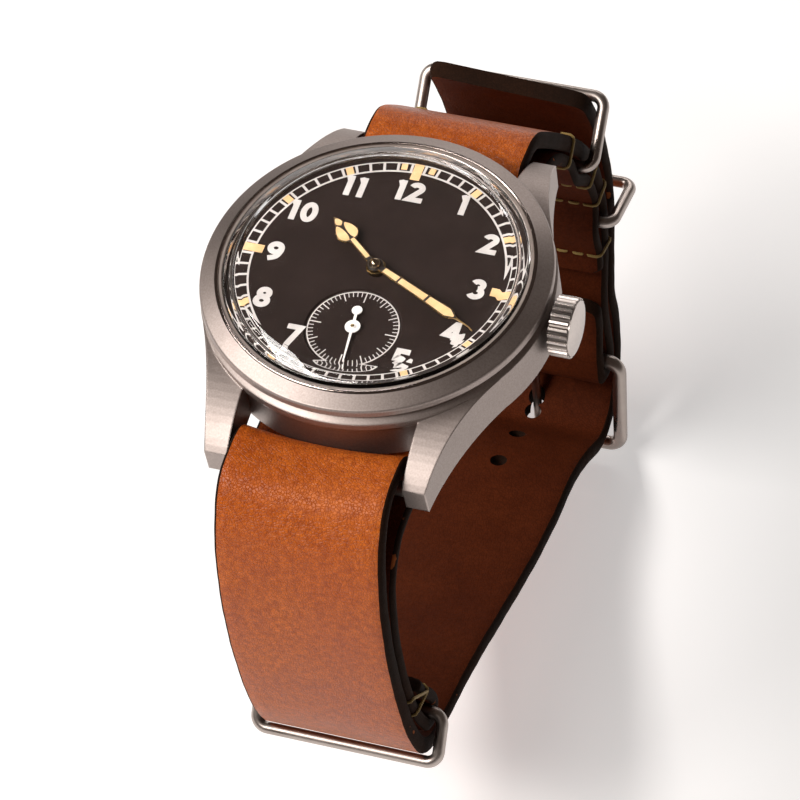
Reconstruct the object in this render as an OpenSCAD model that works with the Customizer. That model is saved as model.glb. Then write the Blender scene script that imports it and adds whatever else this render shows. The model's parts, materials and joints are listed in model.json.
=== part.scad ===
// Hand-wound sports watch on a one-piece leather pass-through strap.
// The origin is the middle of the case back's outer face, +Z runs out through the dial,
// +Y points to twelve o'clock and +X to the crown.

/* [Case] */
// Diameter of the bezel, the widest round part
bezel_d = 36; // [35:0.5:39]
// Distance that the case middle's side stands out past the bezel's edge
side_out = 0.1; // [0:0.1:0.3]
// Distance that the side is cut in from the bezel's edge where the strap passes it
side_inset = 0.4; // [0.2:0.1:1]
// Height of the case middle's lower face over the case back's face
mid_bot = 0.7; // [0.4:0.1:1]
// Height of the case middle's top face
mid_top = 7.5; // [7.2:0.1:7.8]
// Width of the slope on the case middle's upper edge
shelf_w = 0.9; // [0.5:0.1:1]
// Height of the slope on the case middle's upper edge
shelf_h = 0.6; // [0.3:0.05:0.9]
// Height of the ledge that is left over the strap's passages
ledge_h = 0.9; // [0.5:0.1:1.2]
// Width of the slope under the case middle's side
under_slope_w = 1.1; // [0.6:0.1:1.3]
// Height of the slope under the case middle's side
under_slope_h = 1.5; // [1:0.1:2]
// Wall of the case middle between the strap's passages and the movement's bore
case_wall = 2.4; // [2.1:0.1:2.7]
// Clear distance between the two lugs of a pair
lug_gap = 18.4; // [18.2:0.1:19]
// Width of a lug at its tip
lug_tip_w = 2.4; // [2:0.1:3]
// Distance of the lug tips beyond the axis of the spring bar
lug_past_bar = 1.3; // [1.2:0.1:2.6]
// Height of the lug tip's upper edge
lug_tip_top = 3.1; // [2.9:0.1:4]
// Height of the lug tip's lower edge
lug_tip_bot = 0.05; // [0:0.05:0.3]

/* [Bezel and crystal] */
// Height of the bezel's inner rim
bezel_top = 9.75; // [9.6:0.05:10.2]
// Width of the groove step between bezel and case middle
groove_w = 0.8; // [0.5:0.1:1]
// Height of the groove
groove_h = 0.35; // [0.2:0.05:0.5]
// Width of the bezel's slope, from its outer edge to the crystal
bezel_slope_w = 2.4; // [2.3:0.1:2.6]
// Thickness of the crystal
crystal_t = 1.2; // [1:0.1:1.4]
// Height of the middle of the crystal's dome
crystal_top = 11.7; // [11.6:0.1:12.5]
// Height of the crystal's upright edge
crystal_edge = 10.7; // [10.4:0.1:10.8]
// Wall of the crystal's sealing ring
crystal_seal_t = 0.3; // [0.2:0.05:0.4]

/* [Case back] */
// Width of the case back's flange beyond the bore
back_lip = 1; // [0.8:0.1:1.3]
// Thickness of the case back's plate
back_t = 1; // [0.8:0.1:1.1]
// Cord diameter of the case back's sealing ring
back_seal_d = 0.5; // [0.4:0.05:0.6]

/* [Crown and stem] */
// Diameter of the crown over its flutes
crown_d = 6.2; // [5.5:0.1:7]
// Length of the crown's fluted side
crown_len = 2; // [2:0.1:2.8]
// Number of flutes round the crown
crown_flutes = 26; // [22:1:32]
// Depth of a flute
flute_depth = 0.28; // [0.1:0.02:0.3]
// Height of the crown's axis
crown_z = 5.4; // [5.3:0.05:5.5]
// Gap between the pushed-in crown and the case
crown_gap = 0.5; // [0.4:0.05:0.7]
// Diameter of the winding stem
stem_d = 1; // [0.9:0.05:1.1]
// Outer diameter of the crown tube
tube_d = 2.6; // [2.4:0.1:2.8]
// Wall of the crown tube
tube_wall = 0.35; // [0.3:0.05:0.4]

/* [Dial and hands] */
// Height of the dial's face
dial_z = 8.3; // [8.2:0.05:8.35]
// Gap between the dial's edge and the bore
dial_gap = 0.3; // [0.2:0.05:0.5]
// Width of the dial's rim that the bezel covers
dial_rim_w = 0.4; // [0.3:0.05:0.5]
// Thickness of the dial
dial_t = 0.4; // [0.3:0.05:0.45]
// Distance of the small seconds below the middle
sub_y = 7.44; // [7.3:0.02:7.6]
// Diameter of the small seconds' recess
sub_d = 9.9; // [9:0.1:10.4]
// Depth of the small seconds' recess
sub_depth = 0.15; // [0.1:0.05:0.2]
// Length of the hour hand from its axis
hour_len = 8; // [7.6:0.1:8.6]
// Length of the minute hand from its axis
minute_len = 12.9; // [12:0.1:13.6]
// Length of the seconds hand from its axis
seconds_len = 4.4; // [3.6:0.1:4.6]
// Thickness of a hand
hand_t = 0.15; // [0.1:0.01:0.2]
// Time that the hour and minute hands show, in minutes after twelve
shown_minute = 619.2; // [0:0.1:719.9]
// Second that the small hand shows
shown_second = 29; // [0:0.5:59.5]

/* [Strap] */
// Width of the strap
strap_w = 18; // [17:0.1:18]
// Thickness of the long strap
strap_t = 1.8; // [1.6:0.05:1.9]
// Thickness of the short under-strap
flap_t = 1.4; // [1.2:0.05:1.5]
// Gap between leather layers that lie on each other
leather_gap = 0.1; // [0.05:0.01:0.15]
// Diameter of a spring bar
bar_d = 1.6; // [1.5:0.05:1.8]
// Diameter of a spring bar's end pin
bar_pin_d = 0.8; // [0.7:0.05:0.9]
// Diameter of the steel wire of the strap's rings
wire_d = 1.3; // [1.1:0.05:1.4]
// Clear width inside the strap's rings and buckle
ring_inner_w = 18.8; // [18.6:0.1:19.4]
// Distance between the two long wires of a keeper ring
keeper_depth = 7.7; // [7.5:0.1:8]
// Distance between the two long wires of the lower ring
lower_ring_depth = 5.4; // [5.2:0.1:6]
// Radius of the rings' and the buckle's corners on the inside
ring_corner = 0.6; // [0.4:0.05:0.7]
// Diameter of the strap's punched holes
hole_d = 1.9; // [1.8:0.05:2.2]
// Spacing of the punched holes
hole_pitch = 6.5; // [6:0.1:7]

/* [Movement] */
// Diameter of the movement
move_d = 25.6; // [25.4:0.1:25.8]
// Height of the main plate's lower face
plate_bot = 6.1; // [6.05:0.05:6.15]
// Height of the bridges' lower faces
bridge_bot = 3.3; // [3.25:0.05:3.35]
// Thickness of the bridges
bridge_t = 0.65; // [0.6:0.05:0.65]
// Running clearance round pivots and arbors
run_gap = 0.02; // [0.01:0.01:0.05]
// Thickness of a train wheel
wheel_t = 0.16; // [0.12:0.02:0.2]

/* [Hidden] */
$fn = 96;

bezel_r = bezel_d / 2;
mid_r = bezel_r + side_out;
passage_r = bezel_r - side_inset;
bore_r = passage_r - case_wall;
crystal_r = bezel_r - bezel_slope_w;
bezel_seat_r = crystal_r + crystal_seal_t + run_gap;
dial_r = bore_r - dial_gap;
rehaut_r = dial_r - dial_rim_w;
back_r = bore_r + back_lip;
back_seal_r = (bore_r + back_r) / 2;
ring_bot = 1.9;
rehaut_top = 9.15;
crown_r = crown_d / 2;
crown_x = mid_r + crown_gap;
tube_r = tube_d / 2;
tube_in_r = tube_r - tube_wall;
stem_r = stem_d / 2;
wire_r = wire_d / 2;
bar_r = bar_d / 2;
steel = [0.74, 0.72, 0.69];
brass = [0.80, 0.66, 0.36];
nickel = [0.78, 0.78, 0.76];
leather_out = [0.72, 0.36, 0.16];
leather_in = [0.30, 0.12, 0.07];
rubber = [0.10, 0.10, 0.10];

// The spring bars lie so far out that the strap passes between them and the case
strap_play = 0.1;
bar_y = passage_r + strap_play + strap_t + strap_play + bar_r;
bar_z = 1.6;
lug_reach = bar_y + lug_past_bar;

// Curves and outlines
function lerp(a, b, u) = a + (b - a) * u;
function unit(v) = v / norm(v);
function arc(c, r, a0, a1, n) =
    [for (i = [0:n]) let (a = lerp(a0, a1, i / n)) c + r * [cos(a), sin(a)]];
function bezier(a, b, c, n) =
    [for (i = [0:n]) let (u = i / n) a * (1 - u) * (1 - u) + b * 2 * u * (1 - u) + c * u * u];
function spline_point(a, b, c, d, u) =
    0.5 * (2 * b + (c - a) * u + (2 * a - 5 * b + 4 * c - d) * u * u + (3 * b - a - 3 * c + d) * u * u * u);
function spline(p, n) = let (last = len(p) - 1) concat(
    [for (i = [0:last - 1], k = [0:n - 1])
        spline_point(p[max(i - 1, 0)], p[i], p[i + 1], p[min(i + 2, last)], k / n)],
    [p[last]]);
function tangent(p, i) = unit(p[min(i + 1, len(p) - 1)] - p[max(i - 1, 0)]);
function side(p, i) = let (t = tangent(p, i)) [-t[1], t[0]];
function band(p, t) = concat(
    [for (i = [0:len(p) - 1]) p[i] + side(p, i) * t / 2],
    [for (i = [len(p) - 1:-1:0]) p[i] - side(p, i) * t / 2]);

// Extrudes a [y, z] outline to both sides of the middle plane
module across(w) {
    rotate([90, 0, 90]) translate([0, 0, -w / 2]) linear_extrude(w) children();
}

module ring(r_out, r_in, z0, z1) {
    translate([0, 0, z0]) difference() {
        cylinder(r = r_out, h = z1 - z0);
        translate([0, 0, -1]) cylinder(r = r_in, h = z1 - z0 + 2);
    }
}

module disc(r, z0, z1) {
    translate([0, 0, z0]) cylinder(r = r, h = z1 - z0);
}

// A cylinder along X
module rod(r, x0, x1, y, z) {
    translate([x0, y, z]) rotate([0, 90, 0]) cylinder(r = r, h = x1 - x0);
}

// Case
lug_in = lug_gap / 2;
lug_out = lug_in + lug_tip_w;
flank_angle = 28;
lug_side_start = mid_r * [cos(flank_angle), sin(flank_angle)];
ledge_z = mid_top - shelf_h - ledge_h;
lug_plan = concat(
    [[lug_in, lug_side_start[1] - 0.26], lug_side_start - [2, 0.26]],
    bezier(lug_side_start, lug_side_start + 6.4 * [-sin(flank_angle), cos(flank_angle)],
           [lug_out, lug_reach], 16),
    [[lug_in, lug_reach]]);
// The lugs' side view: a back that leaves the case's upper edge and a belly that leaves its lower one
lug_root = mid_r / 2;
lug_back_z = mid_top - shelf_h;
lug_belly_z = mid_bot + under_slope_h;
lug_profile = concat(
    bezier([lug_root, lug_back_z], [mid_r - 0.9, lug_back_z + 0.4], [lug_reach, lug_tip_top], 16),
    bezier([lug_reach - 0.25, lug_tip_bot], [mid_r, lug_belly_z - 0.7], [lug_root, lug_belly_z], 10));

module lug_pair() {
    intersection() {
        linear_extrude(mid_top + 1) {
            polygon(lug_plan);
            mirror([1, 0]) polygon(lug_plan);
        }
        across(4 * lug_out) polygon(lug_profile);
    }
}

module case_middle() {
    color(steel) difference() {
        union() {
            rotate_extrude() polygon([
                [bore_r - 2, mid_bot], [mid_r - under_slope_w, mid_bot], [mid_r, lug_belly_z],
                [mid_r, lug_back_z], [mid_r - shelf_w, mid_top], [bore_r - 2, mid_top]]);
            lug_pair();
            mirror([0, 1, 0]) lug_pair();
        }
        translate([0, 0, -1]) cylinder(r = bore_r, h = mid_top + 3);
        // The strap's two passages between the lugs, under the ledge
        difference() {
            translate([-lug_in, -lug_reach - 1, -1]) cube([lug_gap, 2 * lug_reach + 2, ledge_z + 1]);
            disc(passage_r, -2, mid_top);
        }
        rod(tube_r + run_gap, bore_r - 2, mid_r + 4, 0, crown_z);
        for (s = [-1, 1]) rod(bar_pin_d / 2 + 0.03, -lug_in - 1.4, lug_in + 1.4, s * bar_y, bar_z);
        // Seat of the case back's flange and of its sealing ring
        translate([0, 0, -1]) cylinder(r = back_r + run_gap, h = back_t + 1);
        rotate_extrude() translate([back_seal_r, back_t]) circle(d = back_seal_d + 0.02);
    }
}

module bezel() {
    foot = mid_top + groove_h;
    color(steel) rotate_extrude() polygon(concat(
        [[rehaut_r, dial_z + 0.05], [bore_r, dial_z + 0.05], [bore_r, mid_top],
         [bezel_r - groove_w, mid_top], [bezel_r - groove_w, foot], [bezel_r - 0.25, foot]],
        arc([bezel_r - 0.3, foot + 0.3], 0.3, -60, 20, 5),
        arc([bezel_r - 0.45, foot + 0.72], 0.42, 0, 52, 6),
        [[bezel_seat_r + 0.28, bezel_top - 0.1], [bezel_seat_r + 0.2, bezel_top],
         [bezel_seat_r + 0.06, bezel_top], [bezel_seat_r, bezel_top - 0.08],
         [bezel_seat_r, rehaut_top], [rehaut_r + 0.55, rehaut_top]]));
}

module crystal() {
    dome = crystal_top - crystal_edge;
    dome_r = (crystal_r * crystal_r + dome * dome) / (2 * dome);
    inner_r = crystal_r - crystal_t;
    color([0.85, 0.92, 0.95, 0.35]) difference() {
        union() {
            disc(crystal_r, rehaut_top, crystal_edge);
            translate([0, 0, crystal_top - dome_r]) intersection() {
                sphere(r = dome_r, $fn = 180);
                disc(crystal_r, dome_r - dome, dome_r + 1);
            }
        }
        disc(inner_r, rehaut_top - 1, crystal_edge - crystal_t + 0.35);
        translate([0, 0, crystal_top - crystal_t - dome_r]) intersection() {
            sphere(r = dome_r, $fn = 180);
            disc(inner_r, dome_r - 2 * dome, dome_r + 1);
        }
    }
}

module crystal_seal() {
    color([0.9, 0.9, 0.88]) ring(bezel_seat_r - 0.01, crystal_r + 0.01, rehaut_top, bezel_top - 0.15);
}

module case_back() {
    color(steel) difference() {
        union() {
            rotate_extrude()
                polygon([[0, 0], [back_r - 0.6, 0], [back_r, 0.5], [back_r, back_t], [0, back_t]]);
            ring(bore_r - 0.1, bore_r - 1.4, back_t, ring_bot);
        }
        rotate_extrude() translate([back_seal_r, back_t]) circle(d = back_seal_d + 0.02);
        // Six shallow key slots for the case opener
        for (a = [0:60:300]) rotate(a) translate([back_r - 1.1, 0, 0]) cube([1.4, 2.2, 1], center = true);
    }
}

module case_back_seal() {
    color(rubber) rotate_extrude() translate([back_seal_r, back_t + 0.01]) circle(d = back_seal_d - 0.04);
}

// Crown, stem and keyless works
module crown_tube() {
    color(steel) difference() {
        union() {
            rod(tube_r, bore_r + 0.1, crown_x + 1.25, 0, crown_z);
            rod(tube_r + 0.25, mid_r, mid_r + 0.12, 0, crown_z);
        }
        rod(tube_in_r, bore_r - 1, mid_r + 4, 0, crown_z);
    }
}

crown_bore_r = tube_r + 0.12;
module crown() {
    dome = 0.55;
    dome_r = (crown_r * crown_r + dome * dome) / (2 * dome);
    color(steel) translate([crown_x, 0, crown_z]) rotate([0, 90, 0]) difference() {
        union() {
            linear_extrude(crown_len) polygon(flute_outline());
            disc(crown_r - flute_depth, 0, crown_len + 0.05);
            translate([0, 0, crown_len + 0.05 + dome - dome_r]) intersection() {
                sphere(r = dome_r, $fn = 180);
                disc(crown_r - flute_depth, dome_r - dome, dome_r + 1);
            }
        }
        // Recess that passes over the tube and its sealing ring
        disc(crown_bore_r, -1, 1.35);
        disc(stem_r - 0.1, -1, 1.9);
    }
}

function flute_outline() = [for (i = [0:crown_flutes - 1], k = [0:3])
    let (p = 360 / crown_flutes, a = p * (i + [0, 0.18, 0.5, 0.68][k]),
         r = crown_r - [flute_depth, 0, 0, flute_depth][k]) r * [cos(a), sin(a)]];

module crown_seal() {
    color(rubber) translate([crown_x - 0.6, 0, crown_z]) rotate([0, 90, 0])
        rotate_extrude() translate([(tube_in_r + stem_r) / 2 - 0.02, 0])
            circle(r = (tube_in_r - stem_r) / 2 - 0.05);
}

stem_end = 5.4;
clutch_x = 7.4;
clutch_len = 1.5;
pinion_x = 9.2;
pinion_len = 1.3;
lever_x = 10.8;
module winding_stem() {
    color(nickel) difference() {
        union() {
            rod(stem_r - 0.12, stem_end, clutch_x, 0, crown_z);
            rod(stem_r, clutch_x, crown_x + 0.8, 0, crown_z);
            rod(stem_r - 0.12, crown_x + 0.8, crown_x + 1.88, 0, crown_z);
        }
        // Groove for the setting lever's nose
        difference() {
            rod(stem_r + 1, lever_x, lever_x + 0.5, 0, crown_z);
            rod(stem_r - 0.2, lever_x - 1, lever_x + 1, 0, crown_z);
        }
    }
}

// Dial and hands
dial_hole_r = 0.85;
sub_hole_r = 0.3;
feet = [[-9.2, 7.6], [9.6, -7.2]];
module dial() {
    color([0.10, 0.08, 0.07]) difference() {
        union() {
            disc(dial_r, dial_z - dial_t, dial_z);
            for (p = feet) translate([p[0], p[1], 0]) disc(0.35, dial_z - dial_t - 1.3, dial_z - 0.1);
        }
        disc(dial_hole_r, 0, dial_z + 1);
        translate([0, -sub_y, 0]) disc(sub_hole_r, 0, dial_z + 1);
        translate([0, -sub_y, 0]) disc(sub_d / 2, dial_z - sub_depth, dial_z + 1);
    }
}

// Outline of a hand along +Y from half widths [distance, half width]
function hand_outline(p) = let (s = spline(p, 6)) concat(
    [for (q = s) [q[1], q[0]]], [for (i = [len(s) - 1:-1:0]) [-s[i][1], s[i][0]]]);
hour_hand_z = 8.85;
minute_hand_z = 9.2;
cap_z = minute_hand_z + hand_t;
cannon_top = cap_z - 0.03;
hour_shape = [[0.5, 0.34], [2.4, 0.34], [4.1, 0.36], [4.4, 0.62], [4.9, 1.06], [5.5, 1.16], [6.2, 1],
              [6.8, 0.6], [hour_len - 0.9, 0.45], [hour_len - 0.45, 0.26], [hour_len, 0.03]];
minute_shape = [[0.5, 0.34], [1.2, 0.38], [3.2, 0.43], [7.1, 0.48], [minute_len - 3, 0.62],
                [minute_len - 2.2, 0.26], [minute_len - 1.7, 0.1], [minute_len, 0.04]];

module hour_hand() {
    color([0.96, 0.79, 0.55]) rotate(-shown_minute / 2) difference() {
        translate([0, 0, hour_hand_z]) linear_extrude(hand_t) union() {
            circle(0.98);
            polygon(hand_outline(hour_shape));
        }
        disc(hour_pipe_r, 0, 20);
    }
}

module minute_hand() {
    color([0.96, 0.79, 0.55]) union() {
        rotate(-shown_minute * 6) difference() {
            translate([0, 0, minute_hand_z]) linear_extrude(hand_t) union() {
                circle(0.8);
                polygon(hand_outline(minute_shape));
            }
            disc(cannon_r, 0, 20);
        }
        // Domed cap on the hand's collet
        translate([0, 0, cap_z]) difference() {
            sphere(r = 0.62);
            translate([0, 0, -1.02]) cube(2, center = true);
        }
    }
}

seconds_z = dial_z + 0.12;
seconds_t = 0.1;
seconds_hub_r = 0.78;
// Distance of the tail's disc from the axis, and its radius
seconds_tail = 2.06;
seconds_tail_r = 0.53;
seconds_shape = [[0.15, 0], [0.06, seconds_len], [-0.06, seconds_len], [-0.15, 0],
                 [-0.13, -seconds_tail], [0.13, -seconds_tail]];

module seconds_hand() {
    color([0.93, 0.92, 0.90]) translate([0, -sub_y, seconds_z]) rotate(-shown_second * 6) difference() {
        union() {
            linear_extrude(seconds_t) union() {
                circle(seconds_hub_r);
                polygon(seconds_shape);
                translate([0, -seconds_tail]) circle(seconds_tail_r);
            }
            disc(0.3, 0, seconds_t + 0.12);
        }
        disc(fourth_arbor_r, -1, 1);
    }
}

module movement_ring() {
    color([0.62, 0.60, 0.56]) difference() {
        ring(bore_r - 0.05, move_d / 2 + 0.02, ring_bot, dial_z - dial_t);
        rod(stem_r + 0.5, 5, bore_r + 2, 0, crown_z);
    }
}

// Spring bars: a fixed tube and a sprung pin at each end
bar_half = lug_in - 0.25;
module spring_bar(s) {
    bore = 3.5;
    color(steel) difference() {
        rod(bar_r, -bar_half, bar_half, s * bar_y, bar_z);
        rod(bar_pin_d / 2 + 0.03, -lug_gap, -bore, s * bar_y, bar_z);
        rod(bar_pin_d / 2 + 0.03, bore, lug_gap, s * bar_y, bar_z);
    }
}
module spring_bar_12() { spring_bar(1); }
module spring_bar_6() { spring_bar(-1); }

module bar_pin(s, e) {
    x0 = e * (bar_half - 2.6);
    x1 = e * (lug_in + 0.95);
    color(nickel) rod(bar_pin_d / 2, min(x0, x1), max(x0, x1), s * bar_y, bar_z);
}
module bar_12_pin_left() { bar_pin(1, -1); }
module bar_12_pin_right() { bar_pin(1, 1); }
module bar_6_pin_left() { bar_pin(-1, -1); }
module bar_6_pin_right() { bar_pin(-1, 1); }

// Strap. Its free route was drawn with the spring bars at 20.4 mm; it follows them outwards
route_bar_y = 20.4;
function route(p) =
    [for (q = p) [q[0] + (bar_y - route_bar_y) * max(-1, min(1, q[0] / route_bar_y)), q[1]]];
buckle_bar_r = 0.8;
buckle_bar = route([[35.2, -47]])[0];
buckle_angle = -102.5;
buckle_depth = 12;
fold_r = buckle_bar_r + leather_gap + strap_t / 2;
bar_turn_r = bar_r + strap_play + strap_t / 2;
under_z = -leather_gap - strap_t / 2;
under_turn_r = strap_t / 2 + 0.25;
under_y = bar_y - bar_turn_r - under_turn_r;
inner_route = route([[37, -43.8], [37, -38.8], [38.7, -33.3], [39.8, -29.4], [40.2, -25.2], [39.6, -20.2],
    [37.9, -15], [35.2, -10.2], [31.4, -5], [27.4, -0.1], [24.8, 2.6], [22.8, 3.4]]);
front_route = route([[-22.8, 3.5], [-25, 2.8], [-27.3, -0.2], [-28.7, -4.6], [-29.5, -10], [-29.7, -17],
    [-29.1, -25], [-28, -31], [-25.9, -35.9], [-22.2, -38], [-17, -39.4], [-11, -41.2], [-4.5, -43.7],
    [2.2, -46.3], [8.4, -48.5], [15.1, -50.2], [21.5, -51.2], [26.5, -53.6], [31.3, -56.4],
    [35.9, -55], [38.9, -50.2], [39.8, -44.8], [39.5, -39.6], [40.9, -34], [42.2, -29.6],
    [42.8, -25], [42.5, -19.6], [41.6, -14.4], [40.1, -10.4], [38.6, -7.2]]);
main_path = concat(
    route([[35, -37], [34.7, -40.5], [33.7, -44]]),
    arc(buckle_bar, fold_r, 185, 350, 10),
    spline(inner_route, 5),
    arc([bar_y, bar_z], bar_turn_r, 80, 180, 8),
    arc([under_y, under_z + under_turn_r], under_turn_r, 0, -90, 6),
    arc([-under_y, under_z + under_turn_r], under_turn_r, -90, -180, 6),
    arc([-bar_y, bar_z], bar_turn_r, 0, 100, 8) ,
    spline(front_route, 5));
tongue_tip = buckle_bar + (buckle_depth - 1.5) * [cos(buckle_angle), sin(buckle_angle)];
tail_ways = [for (i = [len(main_path) - 120:len(main_path) - 1]) norm(main_path[i] - tongue_tip)];
tongue_i = len(main_path) - 120 + search(min(tail_ways), tail_ways)[0];

flap_z = under_z - strap_t / 2 - leather_gap - flap_t / 2;
lower_ring_out = route([[-27, -37.2]])[0];
lower_ring_angle = 48.7;
lower_ring_in = lower_ring_out + lower_ring_depth * [cos(lower_ring_angle), sin(lower_ring_angle)];
flap_fold_r = wire_r + 0.1 + flap_t / 2;
flap_route_12 = route([[37, -33], [37.4, -30.2], [37, -26.4], [38.1, -22.4], [37.6, -19.8], [36.4, -16.9],
    [33.9, -14], [33, -11], [32.5, -9.7], [29.6, -5.7], [26.2, -3.3]]);
flap_route_6 = route([[-23.4, -3.2], [-26, -5.9], [-27.4, -10.4], [-27.9, -17], [-27.35, -24.8],
    [-26.5, -29.2], [-25.5, -31.9]]);
flap_path = concat(
    spline(concat(flap_route_12, [[bar_y + 2, flap_z]]), 5),
    [[bar_y - 2, flap_z], [2 - bar_y, flap_z]],
    spline(concat([[-bar_y - 0.6, flap_z]], flap_route_6), 5),
    arc(lower_ring_in, flap_fold_r, 195, 385, 10),
    route([[-22.9, -30.6], [-24.3, -28.4], [-25.3, -25.6]]));

// The point that lies a length s further along a path, or back along it when step is -1
function walk(p, i, s, step) = let (d = norm(p[i + step] - p[i]))
    d >= s ? p[i] + (p[i + step] - p[i]) * s / d : walk(p, i + step, s - d, step);

// Punched hole through the strap at a length s from the one that holds the tongue
module strap_hole(s) {
    q = walk(main_path, tongue_i, abs(s), s < 0 ? -1 : 1);
    r = walk(main_path, tongue_i, abs(s) + 0.5, s < 0 ? -1 : 1);
    translate([0, q[0], q[1]]) rotate([atan2(r[1] - q[1], r[0] - q[0]), 0, 0])
        cylinder(d = hole_d, h = 2 * strap_t, center = true);
}

module strap_main() {
    color(leather_out) difference() {
        across(strap_w) polygon(band(main_path, strap_t));
        // Slot in the fold for the buckle's tongue
        translate([-1.4, buckle_bar[0] - 4, buckle_bar[1] - 4]) cube([2.8, 6.7, 6]);
        for (i = [-2:3]) strap_hole(i * hole_pitch);
        tongue_place() translate([0, 0, buckle_depth - 5]) cylinder(d = hole_d, h = 6.5);
    }
}

module strap_flap() {
    color(leather_in) across(strap_w) polygon(band(flap_path, flap_t));
}

// A rectangular loop of wire with round corners. One long wire lies on the X axis,
// the other one lies depth away along +Y.
module wire_loop(inner_w, depth, r) {
    corner = ring_corner + r;
    half = inner_w / 2 + r;
    for (y = [0, depth]) rod(r, -half + corner, half - corner, y, 0);
    for (x = [-1, 1]) translate([x * half, corner, 0]) rotate([-90, 0, 0])
        cylinder(r = r, h = depth - 2 * corner);
    for (x = [0, 1], y = [0, 1]) mirror([x, 0, 0]) translate([half - corner, y * depth, 0])
        mirror([0, 1 - y, 0]) translate([0, -corner, 0])
            rotate_extrude(angle = 90) translate([corner, 0]) circle(r = r);
}

// Puts a loop's first wire at [y, z], with the loop running out at an angle
module place_loop(p, a) {
    translate([0, p[0], p[1]]) rotate([a, 0, 0]) children();
}

keeper_1 = concat(route([[35.1, -13.15]])[0], [39.5]);
keeper_2 = concat(route([[38.5, -26.4]])[0], [-14]);
module lower_ring() {
    color(steel) place_loop(lower_ring_in, lower_ring_angle + 180)
        wire_loop(ring_inner_w, lower_ring_depth, wire_r);
}
module keeper_ring(k) {
    color(steel) place_loop([k[0], k[1]], k[2]) wire_loop(ring_inner_w, keeper_depth, wire_r);
}
module keeper_ring_1() { keeper_ring(keeper_1); }
module keeper_ring_2() { keeper_ring(keeper_2); }

module buckle_frame() {
    color(steel) place_loop(buckle_bar, buckle_angle) wire_loop(ring_inner_w, buckle_depth, buckle_bar_r);
}

tongue_r = 0.5;
tongue_tilt = atan((buckle_bar_r + tongue_r + 0.05) / buckle_depth);
module tongue_place() {
    place_loop(buckle_bar, buckle_angle + tongue_tilt) rotate([-90, 0, 0]) children();
}
module buckle_tongue() {
    color(steel) difference() {
        union() {
            rod(buckle_bar_r + 0.55, -1.1, 1.1, buckle_bar[0], buckle_bar[1]);
            tongue_place() cylinder(r = tongue_r, h = buckle_depth + 1.2);
        }
        rod(buckle_bar_r + 0.03, -2, 2, buckle_bar[0], buckle_bar[1]);
    }
}

// Gears. m is the module, a the angle of one tooth, and meshed_at turns a gear so that it
// fits the one at its side
function gear(n, m, a) = [for (i = [0:n - 1], k = [0:3])
    let (q = a + 360 / n * (i + [-0.26, -0.1, 0.1, 0.26][k]),
         r = n * m / 2 + m * [-1.15, 0.9, 0.9, -1.15][k])
    r * [cos(q), sin(q)]];
function meshed_at(theta, a, n_a, n_b) = theta + 180 + 180 / n_b - (a - theta) * n_a / n_b;
function bearing(a, b) = atan2(b[1] - a[1], b[0] - a[0]);
function polar(c, r, a) = c + r * [cos(a), sin(a)];
function meet(a, ra, b, rb) =
    let (d = norm(b - a), u = (ra * ra - rb * rb + d * d) / (2 * d), h = sqrt(ra * ra - u * u))
    a + u * (b - a) / d + h * [-(b[1] - a[1]), b[0] - a[0]] / d;

module at(p) {
    translate([p[0], p[1], 0]) children();
}

// A toothed wheel with spokes
module wheel(n, m, a, z0, z1, spokes, hub) {
    rim_r = n * m / 2 - 1.15 * m - 0.3;
    translate([0, 0, z0]) linear_extrude(z1 - z0) difference() {
        polygon(gear(n, m, a));
        if (spokes > 0) difference() {
            circle(rim_r);
            circle(hub);
            for (i = [1:spokes]) rotate(i * 360 / spokes) translate([0, -0.16]) square([rim_r + 1, 0.32]);
        }
    }
}

module pinion(n, m, a, z0, z1) {
    translate([0, 0, z0]) linear_extrude(z1 - z0) polygon(gear(n, m, a));
}

pivot_r = 0.1;
barrel_teeth = 78;
barrel_m = 0.14;
center_leaves = 12;
center_teeth = 80;
center_m = 0.095;
third_leaves = 10;
third_teeth = 75;
third_m = 0.085;
fourth_leaves = 10;
fourth_teeth = 70;
fourth_m = 0.08;
escape_leaves = 7;
center_at = [0, 0];
fourth_at = [0, -sub_y];
third_at = meet(center_at, center_m * (center_teeth + third_leaves) / 2,
                fourth_at, third_m * (third_teeth + fourth_leaves) / 2);
barrel_at = polar(center_at, barrel_m * (barrel_teeth + center_leaves) / 2, 65);
escape_at = polar(fourth_at, fourth_m * (fourth_teeth + escape_leaves) / 2, 160);
escape_line = 122;
pallet_at = polar(escape_at, 3, escape_line);
balance_at = polar(escape_at, 6.6, escape_line);

center_z = plate_bot - 0.45;
barrel_z0 = bridge_bot + 0.8;
barrel_z1 = center_z - 0.23;
barrel_tooth_z = barrel_z1 - 0.32;
third_z = bridge_bot + 1.35;
fourth_z = bridge_bot + 1.85;
escape_z = bridge_bot + 0.95;
bridge_top = bridge_bot + bridge_t;
fourth_arbor_r = 0.2;

center_leaf_a = 0;
center_a = center_leaf_a;
barrel_a = meshed_at(bearing(center_at, barrel_at), center_leaf_a, center_leaves, barrel_teeth);
third_a = meshed_at(bearing(center_at, third_at), center_a, center_teeth, third_leaves);
fourth_a = meshed_at(bearing(third_at, fourth_at), third_a, third_teeth, fourth_leaves);
escape_a = meshed_at(bearing(fourth_at, escape_at), fourth_a, fourth_teeth, escape_leaves);

// An arbor with a pivot at each end
module arbor(r, z0, z1) {
    disc(r, z0 + 0.5, z1 - 0.5);
    disc(pivot_r, z0, z1);
}

arbor_r = 0.28;
module center_wheel() {
    color(brass) union() {
        wheel(center_teeth, center_m, center_a, center_z, center_z + wheel_t, 5, 0.7);
        pinion(center_leaves, barrel_m, center_leaf_a, barrel_tooth_z - 0.1, center_z);
        disc(arbor_r, bridge_top + 0.1, cannon_top - 0.2);
        disc(pivot_r, bridge_bot + 0.15, bridge_top + 0.2);
    }
}

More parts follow.
